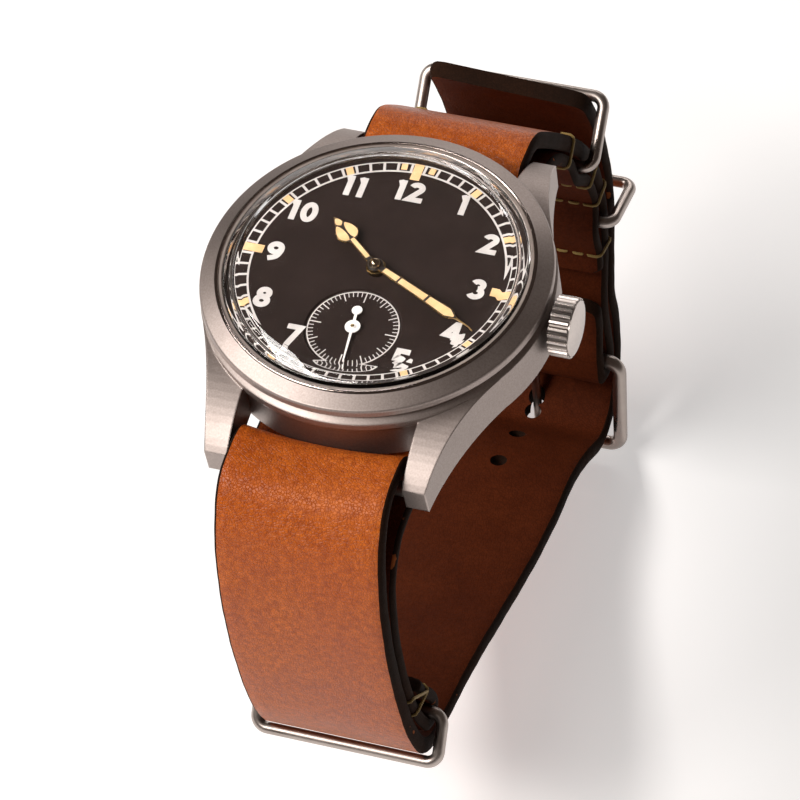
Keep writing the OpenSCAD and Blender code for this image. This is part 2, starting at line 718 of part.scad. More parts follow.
module third_wheel() {
    color(brass) at(third_at) {
        wheel(third_teeth, third_m, third_a, third_z, third_z + wheel_t, 5, 0.55);
        pinion(third_leaves, center_m, third_a, center_z - 0.15, center_z + 0.3);
        arbor(0.22, bridge_bot + 0.15, plate_bot + 0.35);
    }
}

module fourth_wheel() {
    color(brass) at(fourth_at) {
        wheel(fourth_teeth, fourth_m, fourth_a, fourth_z, fourth_z + wheel_t, 5, 0.5);
        pinion(fourth_leaves, third_m, fourth_a, third_z - 0.15, third_z + 0.35);
        disc(fourth_arbor_r, bridge_top + 0.1, seconds_z + 0.2);
        disc(pivot_r, bridge_bot + 0.15, bridge_top + 0.2);
    }
}

escape_r = 2.1;
escape_teeth = 15;
module escape_wheel() {
    tooth = 360 / escape_teeth;
    color(nickel) at(escape_at) {
        translate([0, 0, escape_z]) linear_extrude(0.14) difference() {
            polygon([for (i = [0:escape_teeth - 1], k = [0:3])
                let (r = [1.5, escape_r, escape_r, 1.62][k])
                    polar([0, 0], r, tooth * (i + [0, 0.34, 0.46, 0.4][k]))]);
            difference() {
                circle(1.25);
                circle(0.4);
                for (i = [0:3]) rotate(i * 90) translate([0, -0.13]) square([1.4, 0.26]);
            }
        }
        pinion(escape_leaves, fourth_m, escape_a, fourth_z - 0.15, fourth_z + 0.3);
        arbor(0.14, bridge_bot + 0.15, plate_bot + 0.35);
    }
}

module pallet_fork() {
    stone = 0.3;
    reach = escape_r + 0.25 + stone / 2;
    color(nickel) union() {
        translate([0, 0, escape_z - 0.03]) linear_extrude(0.18) {
            translate(pallet_at) circle(0.4);
            for (s = [-1, 1]) {
                tip = polar(escape_at, reach, escape_line + s * 32);
                translate(pallet_at) rotate(bearing(pallet_at, tip)) translate([0, -0.15])
                    square([norm(tip - pallet_at), 0.3]);
                translate(tip) rotate(escape_line + s * 32) square([stone, 0.34], center = true);
            }
            translate(pallet_at) rotate(escape_line) difference() {
                union() {
                    translate([0, -0.14]) square([2.4, 0.28]);
                    translate([1.95, -0.4]) square([0.65, 0.8]);
                }
                translate([2.2, -0.14]) square([0.6, 0.28]);
            }
        }
        at(pallet_at) arbor(0.14, pallet_bridge_z + 0.1, plate_bot + 0.35);
    }
}

balance_r = 4.2;
balance_z = bridge_bot + 1.3;
staff_r = 0.2;
module balance_wheel() {
    color(brass) at(balance_at) {
        ring(balance_r, balance_r - 0.5, balance_z - 0.05, balance_z + 0.35);
        translate([0, 0, balance_z + 0.05]) linear_extrude(0.18) {
            circle(0.5);
            for (a = [0:120:240]) rotate(a) translate([0, -0.18]) square([balance_r - 0.2, 0.36]);
        }
        // Timing screws round the rim
        for (a = [12:24:348]) rotate(a) translate([balance_r - 0.1, 0, balance_z + 0.15]) rotate([0, 90, 0])
            cylinder(r = 0.13, h = 0.3);
        disc(0.85, escape_z + 0.2, escape_z + 0.3);
        // Impulse jewel under the roller
        translate([0.7, 0, 0]) disc(0.08, escape_z - 0.03, escape_z + 0.25);
        disc(staff_r, bridge_top + 0.05, plate_bot - 0.15);
        disc(pivot_r, bridge_bot + 0.1, plate_bot + 0.35);
    }
}

function spiral(r0, r1, turns, n) =
    [for (i = [0:turns * n]) polar([0, 0], lerp(r0, r1, i / (turns * n)), 360 * i / n)];
module hairspring() {
    z0 = bridge_top + 0.02;
    color([0.25, 0.32, 0.50]) at(balance_at) {
        translate([0, 0, z0]) linear_extrude(0.12) {
            polygon(band(spiral(0.36, 2.6, 8, 20), 0.05));
            translate([2.6, 0]) circle(0.16);
        }
        ring(0.4, staff_r + 0.03, z0, z0 + 0.12);
    }
}

module regulator() {
    color(steel) at(balance_at) translate([0, 0, bridge_bot - 0.25]) linear_extrude(0.24) difference() {
        union() {
            circle(1.15);
            rotate(bearing(balance_at, cock_foot)) translate([0, -0.15]) square([3.4, 0.3]);
        }
        circle(0.75);
    }
}

module barrel() {
    color(brass) at(barrel_at) difference() {
        union() {
            disc(barrel_drum_r, barrel_z0, barrel_z1);
            pinion(barrel_teeth, barrel_m, barrel_a, barrel_tooth_z, barrel_z1 - 0.02);
        }
        disc(barrel_drum_r - 0.25, barrel_z0 - 1, barrel_z1 - 0.15);
        disc(barrel_arbor_r + 0.02, 0, 20);
    }
}
barrel_drum_r = barrel_teeth * barrel_m / 2 - 0.36;
barrel_arbor_r = 0.5;
cover_t = 0.15;
module barrel_cover() {
    color(brass) at(barrel_at)
        ring(barrel_drum_r - 0.26, barrel_arbor_r + run_gap, barrel_z0, barrel_z0 + cover_t);
}

hub_r = 1.2;
module barrel_arbor() {
    color(steel) at(barrel_at) {
        disc(barrel_arbor_r, ratchet_z, plate_bot + 0.4);
        disc(hub_r, barrel_z0 + cover_t + 0.03, barrel_z1 - 0.2);
        disc(0.95, ratchet_z - 0.28, ratchet_z);
    }
}

module mainspring() {
    color([0.55, 0.57, 0.60]) at(barrel_at) translate([0, 0, barrel_z0 + cover_t + 0.04])
        linear_extrude(barrel_z1 - barrel_z0 - cover_t - 0.24)
            polygon(band(spiral(hub_r + 0.08, barrel_drum_r - 0.32, 9, 32), 0.1));
}

ratchet_z = bridge_bot - 0.3;
ratchet_t = 0.4;
ratchet_teeth = 44;
crown_teeth = 28;
keyless_m = 0.2;
keyless_d = keyless_m * (ratchet_teeth + crown_teeth) / 2;
crown_wheel_at = [barrel_at[0] + sqrt(keyless_d * keyless_d - barrel_at[1] * barrel_at[1]), 0];
crown_wheel_a = 3;
ratchet_a = meshed_at(bearing(crown_wheel_at, barrel_at), crown_wheel_a, crown_teeth, ratchet_teeth);
ratchet_tip_r = ratchet_teeth * keyless_m / 2 + 0.9 * keyless_m;
crown_tip_r = crown_teeth * keyless_m / 2 + 0.9 * keyless_m;
module ratchet_wheel() {
    color(nickel) at(barrel_at) difference() {
        pinion(ratchet_teeth, keyless_m, ratchet_a, ratchet_z, ratchet_z + ratchet_t);
        disc(barrel_arbor_r, 0, 20);
    }
}
module crown_wheel() {
    color(nickel) at(crown_wheel_at) difference() {
        pinion(crown_teeth, keyless_m, crown_wheel_a, ratchet_z, ratchet_z + ratchet_t + 0.05);
        disc(crown_post_r + run_gap, 0, 20);
    }
}
crown_post_r = 0.8;

click_at = polar(barrel_at, 5.7, 150);
module click() {
    tip = polar(barrel_at, ratchet_tip_r + 0.3, 137);
    arm = bearing(click_at, tip);
    click_len = norm(tip - click_at);
    color(steel) union() {
        translate([0, 0, ratchet_z]) linear_extrude(0.27) {
            translate(click_at) circle(0.6);
            translate(click_at) rotate(arm)
                polygon([[0, -0.45], [click_len, -0.12], [click_len, 0.12], [0, 0.45]]);
        }
        at(click_at) disc(0.3, ratchet_z + 0.1, bridge_top);
    }
}

module click_spring() {
    color(steel) translate([0, 0, ratchet_z + 0.05]) linear_extrude(0.24) {
        polygon(band(arc(barrel_at, ratchet_tip_r + 1.35, 94, 143, 14), 0.14));
        translate(polar(barrel_at, ratchet_tip_r + 1.35, 95)) circle(0.45);
    }
}

// Bridges, each with its pillars down to the main plate
barrel_pillars = [[-3.4, 11.2], [11, 4.2], [11.2, -3.4]];
train_pillars = [[5.6, -9.9], [-3.9, -10.9], [6.6, -4.8]];
pallet_foot = [-7, -7.4];
cock_foot = [-8.9, 6];
barrel_outline = [[-5.2, 13], [-5.2, 4.4], [-1.7, 1.3], [-1.7, -1.4], [3.4, -1.4], [4.4, -3.3], [8.9, -3.3],
    [8.9, -4.6], [13, -4.6], [13, 13]];
train_outline = [[-0.9, -1.7], [3.2, -1.7], [4.2, -3.6], [8.6, -3.6], [8.6, -13], [-5, -13], [-5.4, -8.4],
    [-4.4, -5], [-2, -3.4]];
pallet_bridge_z = bridge_bot + 0.25;
jewel_r = 0.55;
bridge_jewels = [center_at, third_at, fourth_at, escape_at];
plate_jewels = [third_at, fourth_at, escape_at, pallet_at, balance_at];
screw_r = 0.3;
head_r = 0.6;

module bridge(outline, pillars) {
    difference() {
        union() {
            translate([0, 0, bridge_bot]) linear_extrude(bridge_t) intersection() {
                circle(move_d / 2 - 0.3);
                polygon(outline);
            }
            for (p = pillars) at(p) disc(0.85, bridge_bot + 0.1, plate_bot);
        }
        for (p = pillars) at(p) screw_hole(bridge_bot);
        for (p = bridge_jewels) at(p) disc(jewel_r + 0.01, 0, bridge_top + 1);
    }
}

module screw_hole(z) {
    disc(screw_r + 0.02, 0, plate_bot + 1);
    disc(head_r + 0.02, z - 1, z + 0.3);
}

module barrel_bridge() {
    color(nickel) difference() {
        union() {
            difference() {
                bridge(barrel_outline, barrel_pillars);
                at(barrel_at) disc(ratchet_tip_r + 0.1, 0, ratchet_z + ratchet_t + 0.05);
                at(crown_wheel_at) disc(crown_tip_r + 0.1, 0, ratchet_z + ratchet_t + 0.08);
            }
            at(crown_wheel_at) disc(crown_post_r, ratchet_z, bridge_top);
        }
        at(barrel_at) disc(barrel_arbor_r + run_gap, 0, 20);
        at(click_at) disc(0.3 + run_gap, 0, 20);
        // Window for the winding pinion
        translate([pinion_x - 0.3, -2.05, bridge_bot - 1]) cube([8, 4.1, 3]);
        at(crown_wheel_at) disc(screw_r + 0.02, 0, bridge_top - 0.2);
    }
}

module train_bridge() {
    color(nickel) bridge(train_outline, train_pillars);
}

module foot_bar(a, ra, b, rb, w) {
    translate(a) circle(ra);
    translate(b) circle(rb);
    translate(a) rotate(bearing(a, b)) translate([0, -w]) square([norm(b - a), 2 * w]);
}

module pallet_bridge() {
    color(nickel) difference() {
        union() {
            translate([0, 0, pallet_bridge_z]) linear_extrude(0.5)
                foot_bar(pallet_at, 0.8, pallet_foot, 0.85, 0.55);
            at(pallet_foot) disc(0.7, pallet_bridge_z + 0.1, plate_bot);
        }
        at(pallet_foot) screw_hole(pallet_bridge_z);
        at(pallet_at) disc(jewel_r + 0.01, 0, bridge_top + 1);
    }
}

module balance_cock() {
    color(nickel) difference() {
        union() {
            translate([0, 0, bridge_bot]) linear_extrude(bridge_t)
                foot_bar(balance_at, 1.6, cock_foot, 1.5, 1.1);
            at(cock_foot) disc(1.2, bridge_bot + 0.1, plate_bot);
        }
        at(cock_foot) screw_hole(bridge_bot);
        at(balance_at) disc(jewel_r + 0.01, 0, bridge_top + 1);
    }
}

module jewel(z, hole_r) {
    ring(jewel_r, hole_r + run_gap, z, z + 0.35);
}

module jewels() {
    color([0.75, 0.10, 0.25]) union() {
        for (p = bridge_jewels) at(p) jewel(bridge_bot + 0.2, pivot_r);
        at(pallet_at) jewel(pallet_bridge_z + 0.1, pivot_r);
        at(balance_at) jewel(bridge_bot + 0.15, pivot_r);
        for (p = plate_jewels) at(p) jewel(plate_bot + 0.02, p == fourth_at ? fourth_arbor_r : pivot_r);
    }
}

module screw(p, z, bottom) {
    at(p) difference() {
        union() {
            disc(head_r, z, z + 0.28);
            disc(screw_r, z + 0.1, bottom);
        }
        translate([-1, -0.08, z - 1]) cube([2, 0.16, 1.12]);
    }
}

module movement_screws() {
    color([0.30, 0.36, 0.55]) union() {
        for (p = concat(barrel_pillars, train_pillars)) screw(p, bridge_bot, plate_bot - 0.3);
        screw(cock_foot, bridge_bot, plate_bot - 0.3);
        screw(pallet_foot, pallet_bridge_z, plate_bot - 0.3);
        at(crown_wheel_at) disc(screw_r, ratchet_z - 0.2, bridge_top - 0.3);
        at(crown_wheel_at) disc(1.15, ratchet_z - 0.3, ratchet_z - 0.02);
    }
}

// Motion works between the main plate and the dial
cannon_leaves = 12;
minute_teeth = 36;
minute_leaves = 12;
hour_teeth = 48;
motion_m = 0.12;
hour_m = motion_m * (cannon_leaves + minute_teeth) / (minute_leaves + hour_teeth);
setting_teeth = 14;
motion_z = plate_bot + 0.85;
minute_wheel_at = [motion_m * (cannon_leaves + minute_teeth) / 2, 0];
setting_at = minute_wheel_at + [motion_m * (minute_teeth + setting_teeth) / 2, 0];
minute_wheel_a = meshed_at(0, 0, cannon_leaves, minute_teeth);
setting_a = meshed_at(0, minute_wheel_a, minute_teeth, setting_teeth);
hour_wheel_a = meshed_at(180, minute_wheel_a, minute_leaves, hour_teeth);
cannon_r = 0.45;
hour_pipe_r = 0.72;

module cannon_pinion() {
    color(steel) difference() {
        union() {
            pinion(cannon_leaves, motion_m, 0, motion_z, motion_z + 0.35);
            disc(cannon_r, motion_z, cannon_top);
        }
        disc(arbor_r + run_gap, 0, 20);
    }
}

module minute_wheel() {
    color(brass) at(minute_wheel_at) difference() {
        union() {
            wheel(minute_teeth, motion_m, minute_wheel_a, motion_z + 0.05, motion_z + 0.25, 4, 0.9);
            pinion(minute_leaves, hour_m, minute_wheel_a, motion_z + 0.2, motion_z + 0.7);
        }
        disc(post_r + run_gap, 0, 20);
    }
}
post_r = 0.25;

module hour_wheel() {
    z0 = motion_z + 0.45;
    color(brass) difference() {
        union() {
            pinion(hour_teeth, hour_m, hour_wheel_a, z0, z0 + 0.2);
            disc(hour_pipe_r, z0, hour_hand_z + hand_t);
        }
        disc(cannon_r + run_gap, 0, 20);
    }
}

module setting_wheel() {
    color(steel) at(setting_at) difference() {
        pinion(setting_teeth, motion_m, setting_a, motion_z + 0.05, motion_z + 0.25);
        disc(post_r + run_gap, 0, 20);
    }
}

// Winding and setting works round the stem
winding_r = 1.85;
winding_teeth = 20;
module winding_pinion() {
    color(steel) difference() {
        translate([pinion_x, 0, crown_z]) rotate([0, 90, 0]) linear_extrude(pinion_len)
            polygon(gear(winding_teeth, winding_r / (winding_teeth / 2 + 0.9), 9));
        rod(stem_r + run_gap, 0, 20, 0, crown_z);
    }
}

clutch_groove = 0.6;
module sliding_clutch() {
    mid = clutch_x + clutch_len / 2;
    color(steel) difference() {
        rod(1.3, clutch_x, clutch_x + clutch_len, 0, crown_z);
        difference() {
            rod(2, mid - clutch_groove / 2, mid + clutch_groove / 2, 0, crown_z);
            rod(0.8, 0, 20, 0, crown_z);
        }
        rod(stem_r + run_gap, 0, 20, 0, crown_z);
    }
}

lever_z = plate_bot + 1.3;
lever_arm = 2.9;
lever_pivot = [lever_x + 0.25, lever_arm];
module setting_lever() {
    color(steel) union() {
        translate([0, 0, lever_z]) linear_extrude(0.25)
            foot_bar(lever_pivot, 0.65, [lever_pivot[0], 0], 0.4, 0.3);
        at(lever_pivot) disc(0.3, plate_bot + 0.1, lever_z + 0.1);
        at([lever_pivot[0], 0]) disc(0.2, crown_z + stem_r - 0.15, lever_z + 0.1);
    }
}

yoke_arm = 3.6;
yoke_pivot = [clutch_x + clutch_len / 2, yoke_arm];
module yoke() {
    color(steel) union() {
        translate([0, 0, lever_z]) linear_extrude(0.25)
            foot_bar(yoke_pivot, 0.65, [yoke_pivot[0], 0], 0.35, 0.3);
        at(yoke_pivot) disc(0.3, plate_bot + 0.1, lever_z + 0.1);
        at([yoke_pivot[0], 0]) disc(0.24, crown_z + 0.85, lever_z + 0.1);
    }
}

window_x0 = 6.55;
window_x1 = 12.35;
block_x = 5.35;
module main_plate() {
    color(nickel) difference() {
        union() {
            difference() {
                disc(move_d / 2, plate_bot, dial_z - dial_t - 0.01);
                // Pockets for the motion works and the levers
                disc(2.8, motion_z - 0.05, 20);
                at(minute_wheel_at) disc(2.45, motion_z - 0.05, 20);
                at(setting_at) disc(1.15, motion_z - 0.05, 20);
                translate([window_x0, -2.05, 0]) cube([window_x1 - window_x0, 4.1, 20]);
                translate([yoke_pivot[0] - 1.7, -1, lever_z - 0.05]) cube([3.1, yoke_arm + 1.9, 5]);
                translate([lever_pivot[0] - 1, -1, lever_z - 0.05]) cube([4, lever_arm + 1.9, 5]);
            }
            for (p = [minute_wheel_at, setting_at]) at(p) disc(post_r, plate_bot + 0.4, motion_z + 0.75);
            // Bearings of the stem
            translate([block_x, -0.65, crown_z - 0.6])
                cube([window_x0 - block_x - 0.05, 1.3, plate_bot - crown_z + 0.7]);
            translate([window_x1 - 0.02, -1.3, crown_z - 0.9]) cube([0.4, 2.6, plate_bot - crown_z + 1.3]);
        }
        disc(arbor_r + 0.03, 0, 20);
        at(fourth_at) disc(fourth_arbor_r + 0.03, 0, 20);
        for (p = plate_jewels) at(p) disc(jewel_r + 0.01, 0, plate_bot + 0.4);
        at(barrel_at) disc(barrel_arbor_r + run_gap, 0, plate_bot + 0.45);
        for (p = [lever_pivot, yoke_pivot]) at(p) disc(0.3 + run_gap, 0, 20);
        for (p = feet) at(p) disc(0.38, 0, 20);
        rod(stem_r + 0.03, 0, 20, 0, crown_z);
    }
}

case_middle();
bezel();
crystal();
crystal_seal();
case_back();
case_back_seal();
crown_tube();
crown();
crown_seal();
winding_stem();
movement_ring();
dial();
hour_hand();
minute_hand();
seconds_hand();
spring_bar_12();
spring_bar_6();
bar_12_pin_left();
bar_12_pin_right();
bar_6_pin_left();
bar_6_pin_right();
strap_main();
strap_flap();
lower_ring();
keeper_ring_1();
keeper_ring_2();
buckle_frame();
buckle_tongue();
main_plate();
barrel_bridge();
train_bridge();
pallet_bridge();
balance_cock();
barrel();
barrel_cover();
barrel_arbor();
mainspring();
center_wheel();
third_wheel();
fourth_wheel();
escape_wheel();
pallet_fork();
balance_wheel();
hairspring();
regulator();
ratchet_wheel();
crown_wheel();
click();
click_spring();
winding_pinion();
sliding_clutch();
setting_lever();
yoke();
setting_wheel();
cannon_pinion();
minute_wheel();
hour_wheel();
jewels();
movement_screws();
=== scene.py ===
# Looks of a hand-wound sports watch on a one-piece leather pass-through strap.
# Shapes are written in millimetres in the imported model's frame: the origin is the middle of
# the case back, +Z runs out through the dial, +Y points to twelve and +X to the crown.
import json
import math

import bmesh
import bpy
from mathutils import Matrix, Vector


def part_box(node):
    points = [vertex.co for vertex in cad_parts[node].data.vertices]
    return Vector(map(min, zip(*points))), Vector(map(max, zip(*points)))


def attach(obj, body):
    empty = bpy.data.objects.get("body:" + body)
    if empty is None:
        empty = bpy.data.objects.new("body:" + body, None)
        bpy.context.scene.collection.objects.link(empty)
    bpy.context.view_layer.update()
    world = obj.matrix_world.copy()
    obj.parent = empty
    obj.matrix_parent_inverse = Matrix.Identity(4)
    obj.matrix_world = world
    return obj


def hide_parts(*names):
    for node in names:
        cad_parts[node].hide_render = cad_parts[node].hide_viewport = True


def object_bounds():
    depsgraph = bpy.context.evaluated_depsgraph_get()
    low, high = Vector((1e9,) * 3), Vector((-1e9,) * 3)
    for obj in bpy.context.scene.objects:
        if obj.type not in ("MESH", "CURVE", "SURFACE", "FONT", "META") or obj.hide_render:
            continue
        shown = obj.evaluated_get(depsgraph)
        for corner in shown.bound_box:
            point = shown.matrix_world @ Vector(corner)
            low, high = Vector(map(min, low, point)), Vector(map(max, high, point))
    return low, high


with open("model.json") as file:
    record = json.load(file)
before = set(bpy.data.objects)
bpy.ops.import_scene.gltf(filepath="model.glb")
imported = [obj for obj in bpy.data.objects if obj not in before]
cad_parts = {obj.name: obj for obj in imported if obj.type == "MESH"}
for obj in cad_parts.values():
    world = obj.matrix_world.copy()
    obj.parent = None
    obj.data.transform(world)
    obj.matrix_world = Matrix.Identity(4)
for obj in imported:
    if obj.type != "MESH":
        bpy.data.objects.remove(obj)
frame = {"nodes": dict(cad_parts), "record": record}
cad_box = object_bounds()
MM = 0.001
X, Y, Z = 0, 1, 2


# Sizes that the looks share with the solids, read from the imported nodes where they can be

def low(node, axis):
    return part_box(node)[0][axis] / MM


def high(node, axis):
    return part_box(node)[1][axis] / MM


def middle(node, axis):
    return (high(node, axis) + low(node, axis)) / 2


dial_z = high("dial", Z)
crystal_r = high("crystal", X)
crystal_top = high("crystal", Z)
crystal_foot = low("crystal", Z)
crystal_edge = 10.7
crystal_wall = 1.2
strap_half = high("strap_main", X)
strap_t = 1.8
flap_t = 1.4
leather_gap = 0.1
bar_y = middle("spring_bar_12", Y)
bar_z = middle("spring_bar_12", Z)
bar_r = (high("spring_bar_12", Z) - low("spring_bar_12", Z)) / 2
wire_r = 0.65
crown_r = high("crown", Y)
crown_z = middle("crown", Z)
crown_end = high("crown", X)
sub_y = -7.44
sub_z = dial_z - 0.15
hour_hand_z = low("hour_hand", Z)
minute_hand_z = low("minute_hand", Z)
hand_t = 0.15
shown_minute = 619.2
hour_angle = -shown_minute / 2
minute_angle = -shown_minute * 6
hour_len = 8.0
minute_len = 12.9
cap_r = 0.62


# Curves in a plane

def lerp(a, b, u):
    return a + (b - a) * u


def path(*points):
    return [Vector(p) for p in points]


def polar(r, degrees):
    return Vector((r * math.cos(math.radians(degrees)), r * math.sin(math.radians(degrees))))


def arc(centre, r, a0, a1, count):
    return [Vector(centre) + polar(r, lerp(a0, a1, i / count)) for i in range(count + 1)]


def oval(centre, rx, ry, a0, a1, count):
    angles = [math.radians(lerp(a0, a1, i / count)) for i in range(count + 1)]
    return [Vector((centre[0] + rx * math.cos(a), centre[1] + ry * math.sin(a))) for a in angles]


def spline(points, count):
    """A smooth curve through the points, with count steps between two of them."""
    p = [Vector(q) for q in points]
    last = len(p) - 1
    out = []
    for i in range(last):
        a, b, c, d = p[max(i - 1, 0)], p[i], p[i + 1], p[min(i + 2, last)]
        for k in range(count):
            u = k / count
            out.append(0.5 * (2 * b + (c - a) * u + (2 * a - 5 * b + 4 * c - d) * u * u
                              + (3 * b - a - 3 * c + d) * u ** 3))
    out.append(p[last])
    return out


# The share of a step under which what is left of a line joins its last whole step
shortest_step = 0.3


def evenly(points, step):
    """The same line with points a step apart."""
    out = [points[0]]
    need = step
    for a, b in zip(points, points[1:]):
        length = (b - a).length
        done = 0.0
        while length - done >= need:
            done += need
            out.append(a + (b - a) * (done / length))
            need = step
        need -= length - done
    if (out[-1] - points[-1]).length > step * shortest_step:
        out.append(points[-1])
    else:
        out[-1] = points[-1]
    return out


def softened(points, rounds):
    """The line with its small corners taken out."""
    for _ in range(rounds):
        inside = [(a + 2 * b + c) / 4 for a, b, c in zip(points, points[1:], points[2:])]
        points = [points[0]] + inside + [points[-1]]
    return points


def turned(points, degrees):
    turn = Matrix.Rotation(math.radians(degrees), 2)
    return [turn @ p for p in points]


def direction_at(points, i):
    """The way a line runs at one of its points."""
    return (points[min(i + 1, len(points) - 1)] - points[max(i - 1, 0)]).normalized()


# Keeps the outer side of a sharp corner from reaching too far
mitre_limit = 0.45


def stroke(points, width, closed=False):
    """The left and right edge of a line of a pen's width."""
    n = len(points)
    left, right = [], []
    for i, p in enumerate(points):
        before = points[(i - 1) % n] if closed or i > 0 else p
        after = points[(i + 1) % n] if closed or i < n - 1 else p
        d0 = (p - before).normalized()
        d1 = (after - p).normalized()
        mid = (d0 + d1).normalized()
        side = Vector((-mid[1], mid[0]))
        bend = d0.dot(d1) if d0.length and d1.length else 1.0
        reach = width / 2 / max(mitre_limit, math.sqrt((1 + bend) / 2))
        left.append(p + side * reach)
        right.append(p - side * reach)
    return left, right


# Mesh making

def add_object(name, data):
    made = bpy.data.objects.new(name, data)
    bpy.context.scene.collection.objects.link(made)
    return made


def add_mesh(name, bm):
    mesh = bpy.data.meshes.new(name)
    bm.to_mesh(mesh)
    bm.free()
    return add_object(name, mesh)


def carved(bm, cutters):
    """The bmesh with the cutters' shapes taken out of it. All are in millimetres."""
    objects = []
    for i, source in enumerate([bm] + cutters):
        bmesh.ops.recalc_face_normals(source, faces=source.faces)
        objects.append(add_mesh(f"carving_{i}", source))
        if i:
            boolean = objects[0].modifiers.new(f"carving_{i}", "BOOLEAN")
            boolean.object = objects[i]
            boolean.operation = "DIFFERENCE"
            boolean.solver = "EXACT"
    bpy.context.view_layer.update()
    result = bmesh.new()
    result.from_object(objects[0], bpy.context.evaluated_depsgraph_get())
    for made in objects:
        mesh = made.data
        bpy.data.objects.remove(made)
        bpy.data.meshes.remove(mesh)
    return result


def add_solid(name, bm, materials):
    """Turns the bmesh, which is in millimetres, into an object with these materials."""
    bmesh.ops.recalc_face_normals(bm, faces=bm.faces)
    bmesh.ops.scale(bm, vec=(MM, MM, MM), verts=bm.verts)
    made = add_mesh(name, bm)
    for material in materials:
        made.data.materials.append(material)
    return made


def finish_mesh(name, bm, materials, body, crease=35):
    """Turns the bmesh into a piece that rides on a body. Without a crease angle its faces are flat."""
    piece = add_solid(name, bm, materials)
    if crease:
        piece.data.shade_smooth()
        piece.data.set_sharp_from_angle(angle=math.radians(crease))
    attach(piece, body)
    return piece


def add_ring_of_faces(bm, rings, closed_way=False, material=0):
    """Joins rows of vertices that all have the same count; each row is a closed loop."""
    rows = list(zip(rings, rings[1:]))
    if closed_way:
        rows.append((rings[-1], rings[0]))
    for a, b in rows:
        n = len(a)
        for i in range(n):
            face = bm.faces.new((a[i], a[(i + 1) % n], b[(i + 1) % n], b[i]))
            face.material_index = material if isinstance(material, int) else material[i]


def add_capped_rings(bm, rings, material=0):
    """Joins the rows and closes both ends."""
    add_ring_of_faces(bm, rings, material=material)
    for ring in (rings[0], rings[-1]):
        bm.faces.new(ring).material_index = material


def add_circle(bm, centre, side, up, r, count):
    """A ring of vertices round a point, in the plane of two directions."""
    angles = [2 * math.pi * k / count for k in range(count)]
    return [bm.verts.new(centre + (side * math.cos(a) + up * math.sin(a)) * r) for a in angles]


def add_plate(bm, outline, z0, z1, material=0):
    """A flat plate with any outline."""
    rings = [[bm.verts.new((p[0], p[1], z)) for p in outline] for z in (z0, z1)]
    add_capped_rings(bm, rings, material)


def add_stroke(bm, points, width, z0, z1, closed=False):
    """A line of a pen's width as a thin raised strip."""
    left, right = stroke(points, width, closed)
    rows = [[bm.verts.new((q[0], q[1], z)) for q, z in ((a, z1), (b, z1), (b, z0), (a, z0))]
            for a, b in zip(left, right)]
    if closed:
        add_ring_of_faces(bm, rows, closed_way=True)
    else:
        add_capped_rings(bm, rows)


def add_lathe(bm, profile, segments, centre=(0, 0)):
    """A closed outline of [radius, height] turned round the Z axis."""
    rings = []
    for i in range(segments):
        a = 2 * math.pi * i / segments
        rings.append([bm.verts.new((centre[0] + r * math.cos(a), centre[1] + r * math.sin(a), z))
                      for r, z in profile])
    add_ring_of_faces(bm, rings, closed_way=True)


# Shader nodes

FLOAT = "NodeSocketFloat"
VECTOR = "NodeSocketVector"


def feed(tree, made, values):
    """Sets a node's inputs, or links those whose value is another node's output."""
    for key, value in values.items():
        if isinstance(value, bpy.types.NodeSocket):
            tree.links.new(value, made.inputs[key])
        else:
            made.inputs[key].default_value = value


def fed_by(made, key):
    """The output that one of a node's inputs is linked to."""
    return made.inputs[key].links[0].from_socket


def node(tree, kind, values=None, **settings):
    """A new node. Its settings go first, because some of them change its inputs."""
    made = tree.nodes.new(kind)
    for key, value in settings.items():
        setattr(made, key, value)
    feed(tree, made, values or {})
    return made


def object_place(tree):
    return node(tree, "ShaderNodeTexCoord").outputs["Object"]


def math_node(tree, operation, a, b, clamp=False):
    made = node(tree, "ShaderNodeMath", {0: a, 1: b}, operation=operation, use_clamp=clamp)
    return made.outputs[0]


def weighted_sum(tree, *parts):
    """The sum of values that are each given with a weight."""
    first, *others = [math_node(tree, "MULTIPLY", value, weight) for value, weight in parts]
    for scaled in others:
        first = math_node(tree, "ADD", first, scaled)
    return first


def ramp(tree, value, low_at, high_at, low_to=0.0, high_to=1.0):
    """Spreads the values between two places over another range."""
    values = {"Value": value, "From Min": low_at, "From Max": high_at, "To Min": low_to, "To Max": high_to}
    return node(tree, "ShaderNodeMapRange", values).outputs["Result"]


def noise(tree, vector, scale, detail=3.0, roughness=0.55):
    values = {"Vector": vector, "Scale": scale, "Detail": detail, "Roughness": roughness}
    return node(tree, "ShaderNodeTexNoise", values).outputs["Fac"]


def blend_colours(tree, factor, a, b):
    a, b = [(*colour, 1) if isinstance(colour, tuple) else colour for colour in (a, b)]
    return node(tree, "ShaderNodeMix", {0: factor, 6: a, 7: b}, data_type="RGBA").outputs[2]


def blend_values(tree, factor, a, b):
    return node(tree, "ShaderNodeMix", {0: factor, 2: a, 3: b}, data_type="FLOAT").outputs[0]


def bump(tree, height, distance, normal=None):
    values = {"Height": height, "Distance": distance}
    if normal is not None:
        values["Normal"] = normal
    return node(tree, "ShaderNodeBump", values).outputs["Normal"]


# Node groups that several finishes share

def new_group(name, inputs, outputs):
    """A node group, its inputs by name and the node that takes its results."""
    group = bpy.data.node_groups.new(name, "ShaderNodeTree")
    for label, kind, value in inputs:
        socket = group.interface.new_socket(name=label, in_out="INPUT", socket_type=kind)
        if value is not None:
            socket.default_value = value
    for label, kind in outputs:
        group.interface.new_socket(name=label, in_out="OUTPUT", socket_type=kind)
    return group, group.nodes.new("NodeGroupInput").outputs, group.nodes.new("NodeGroupOutput")


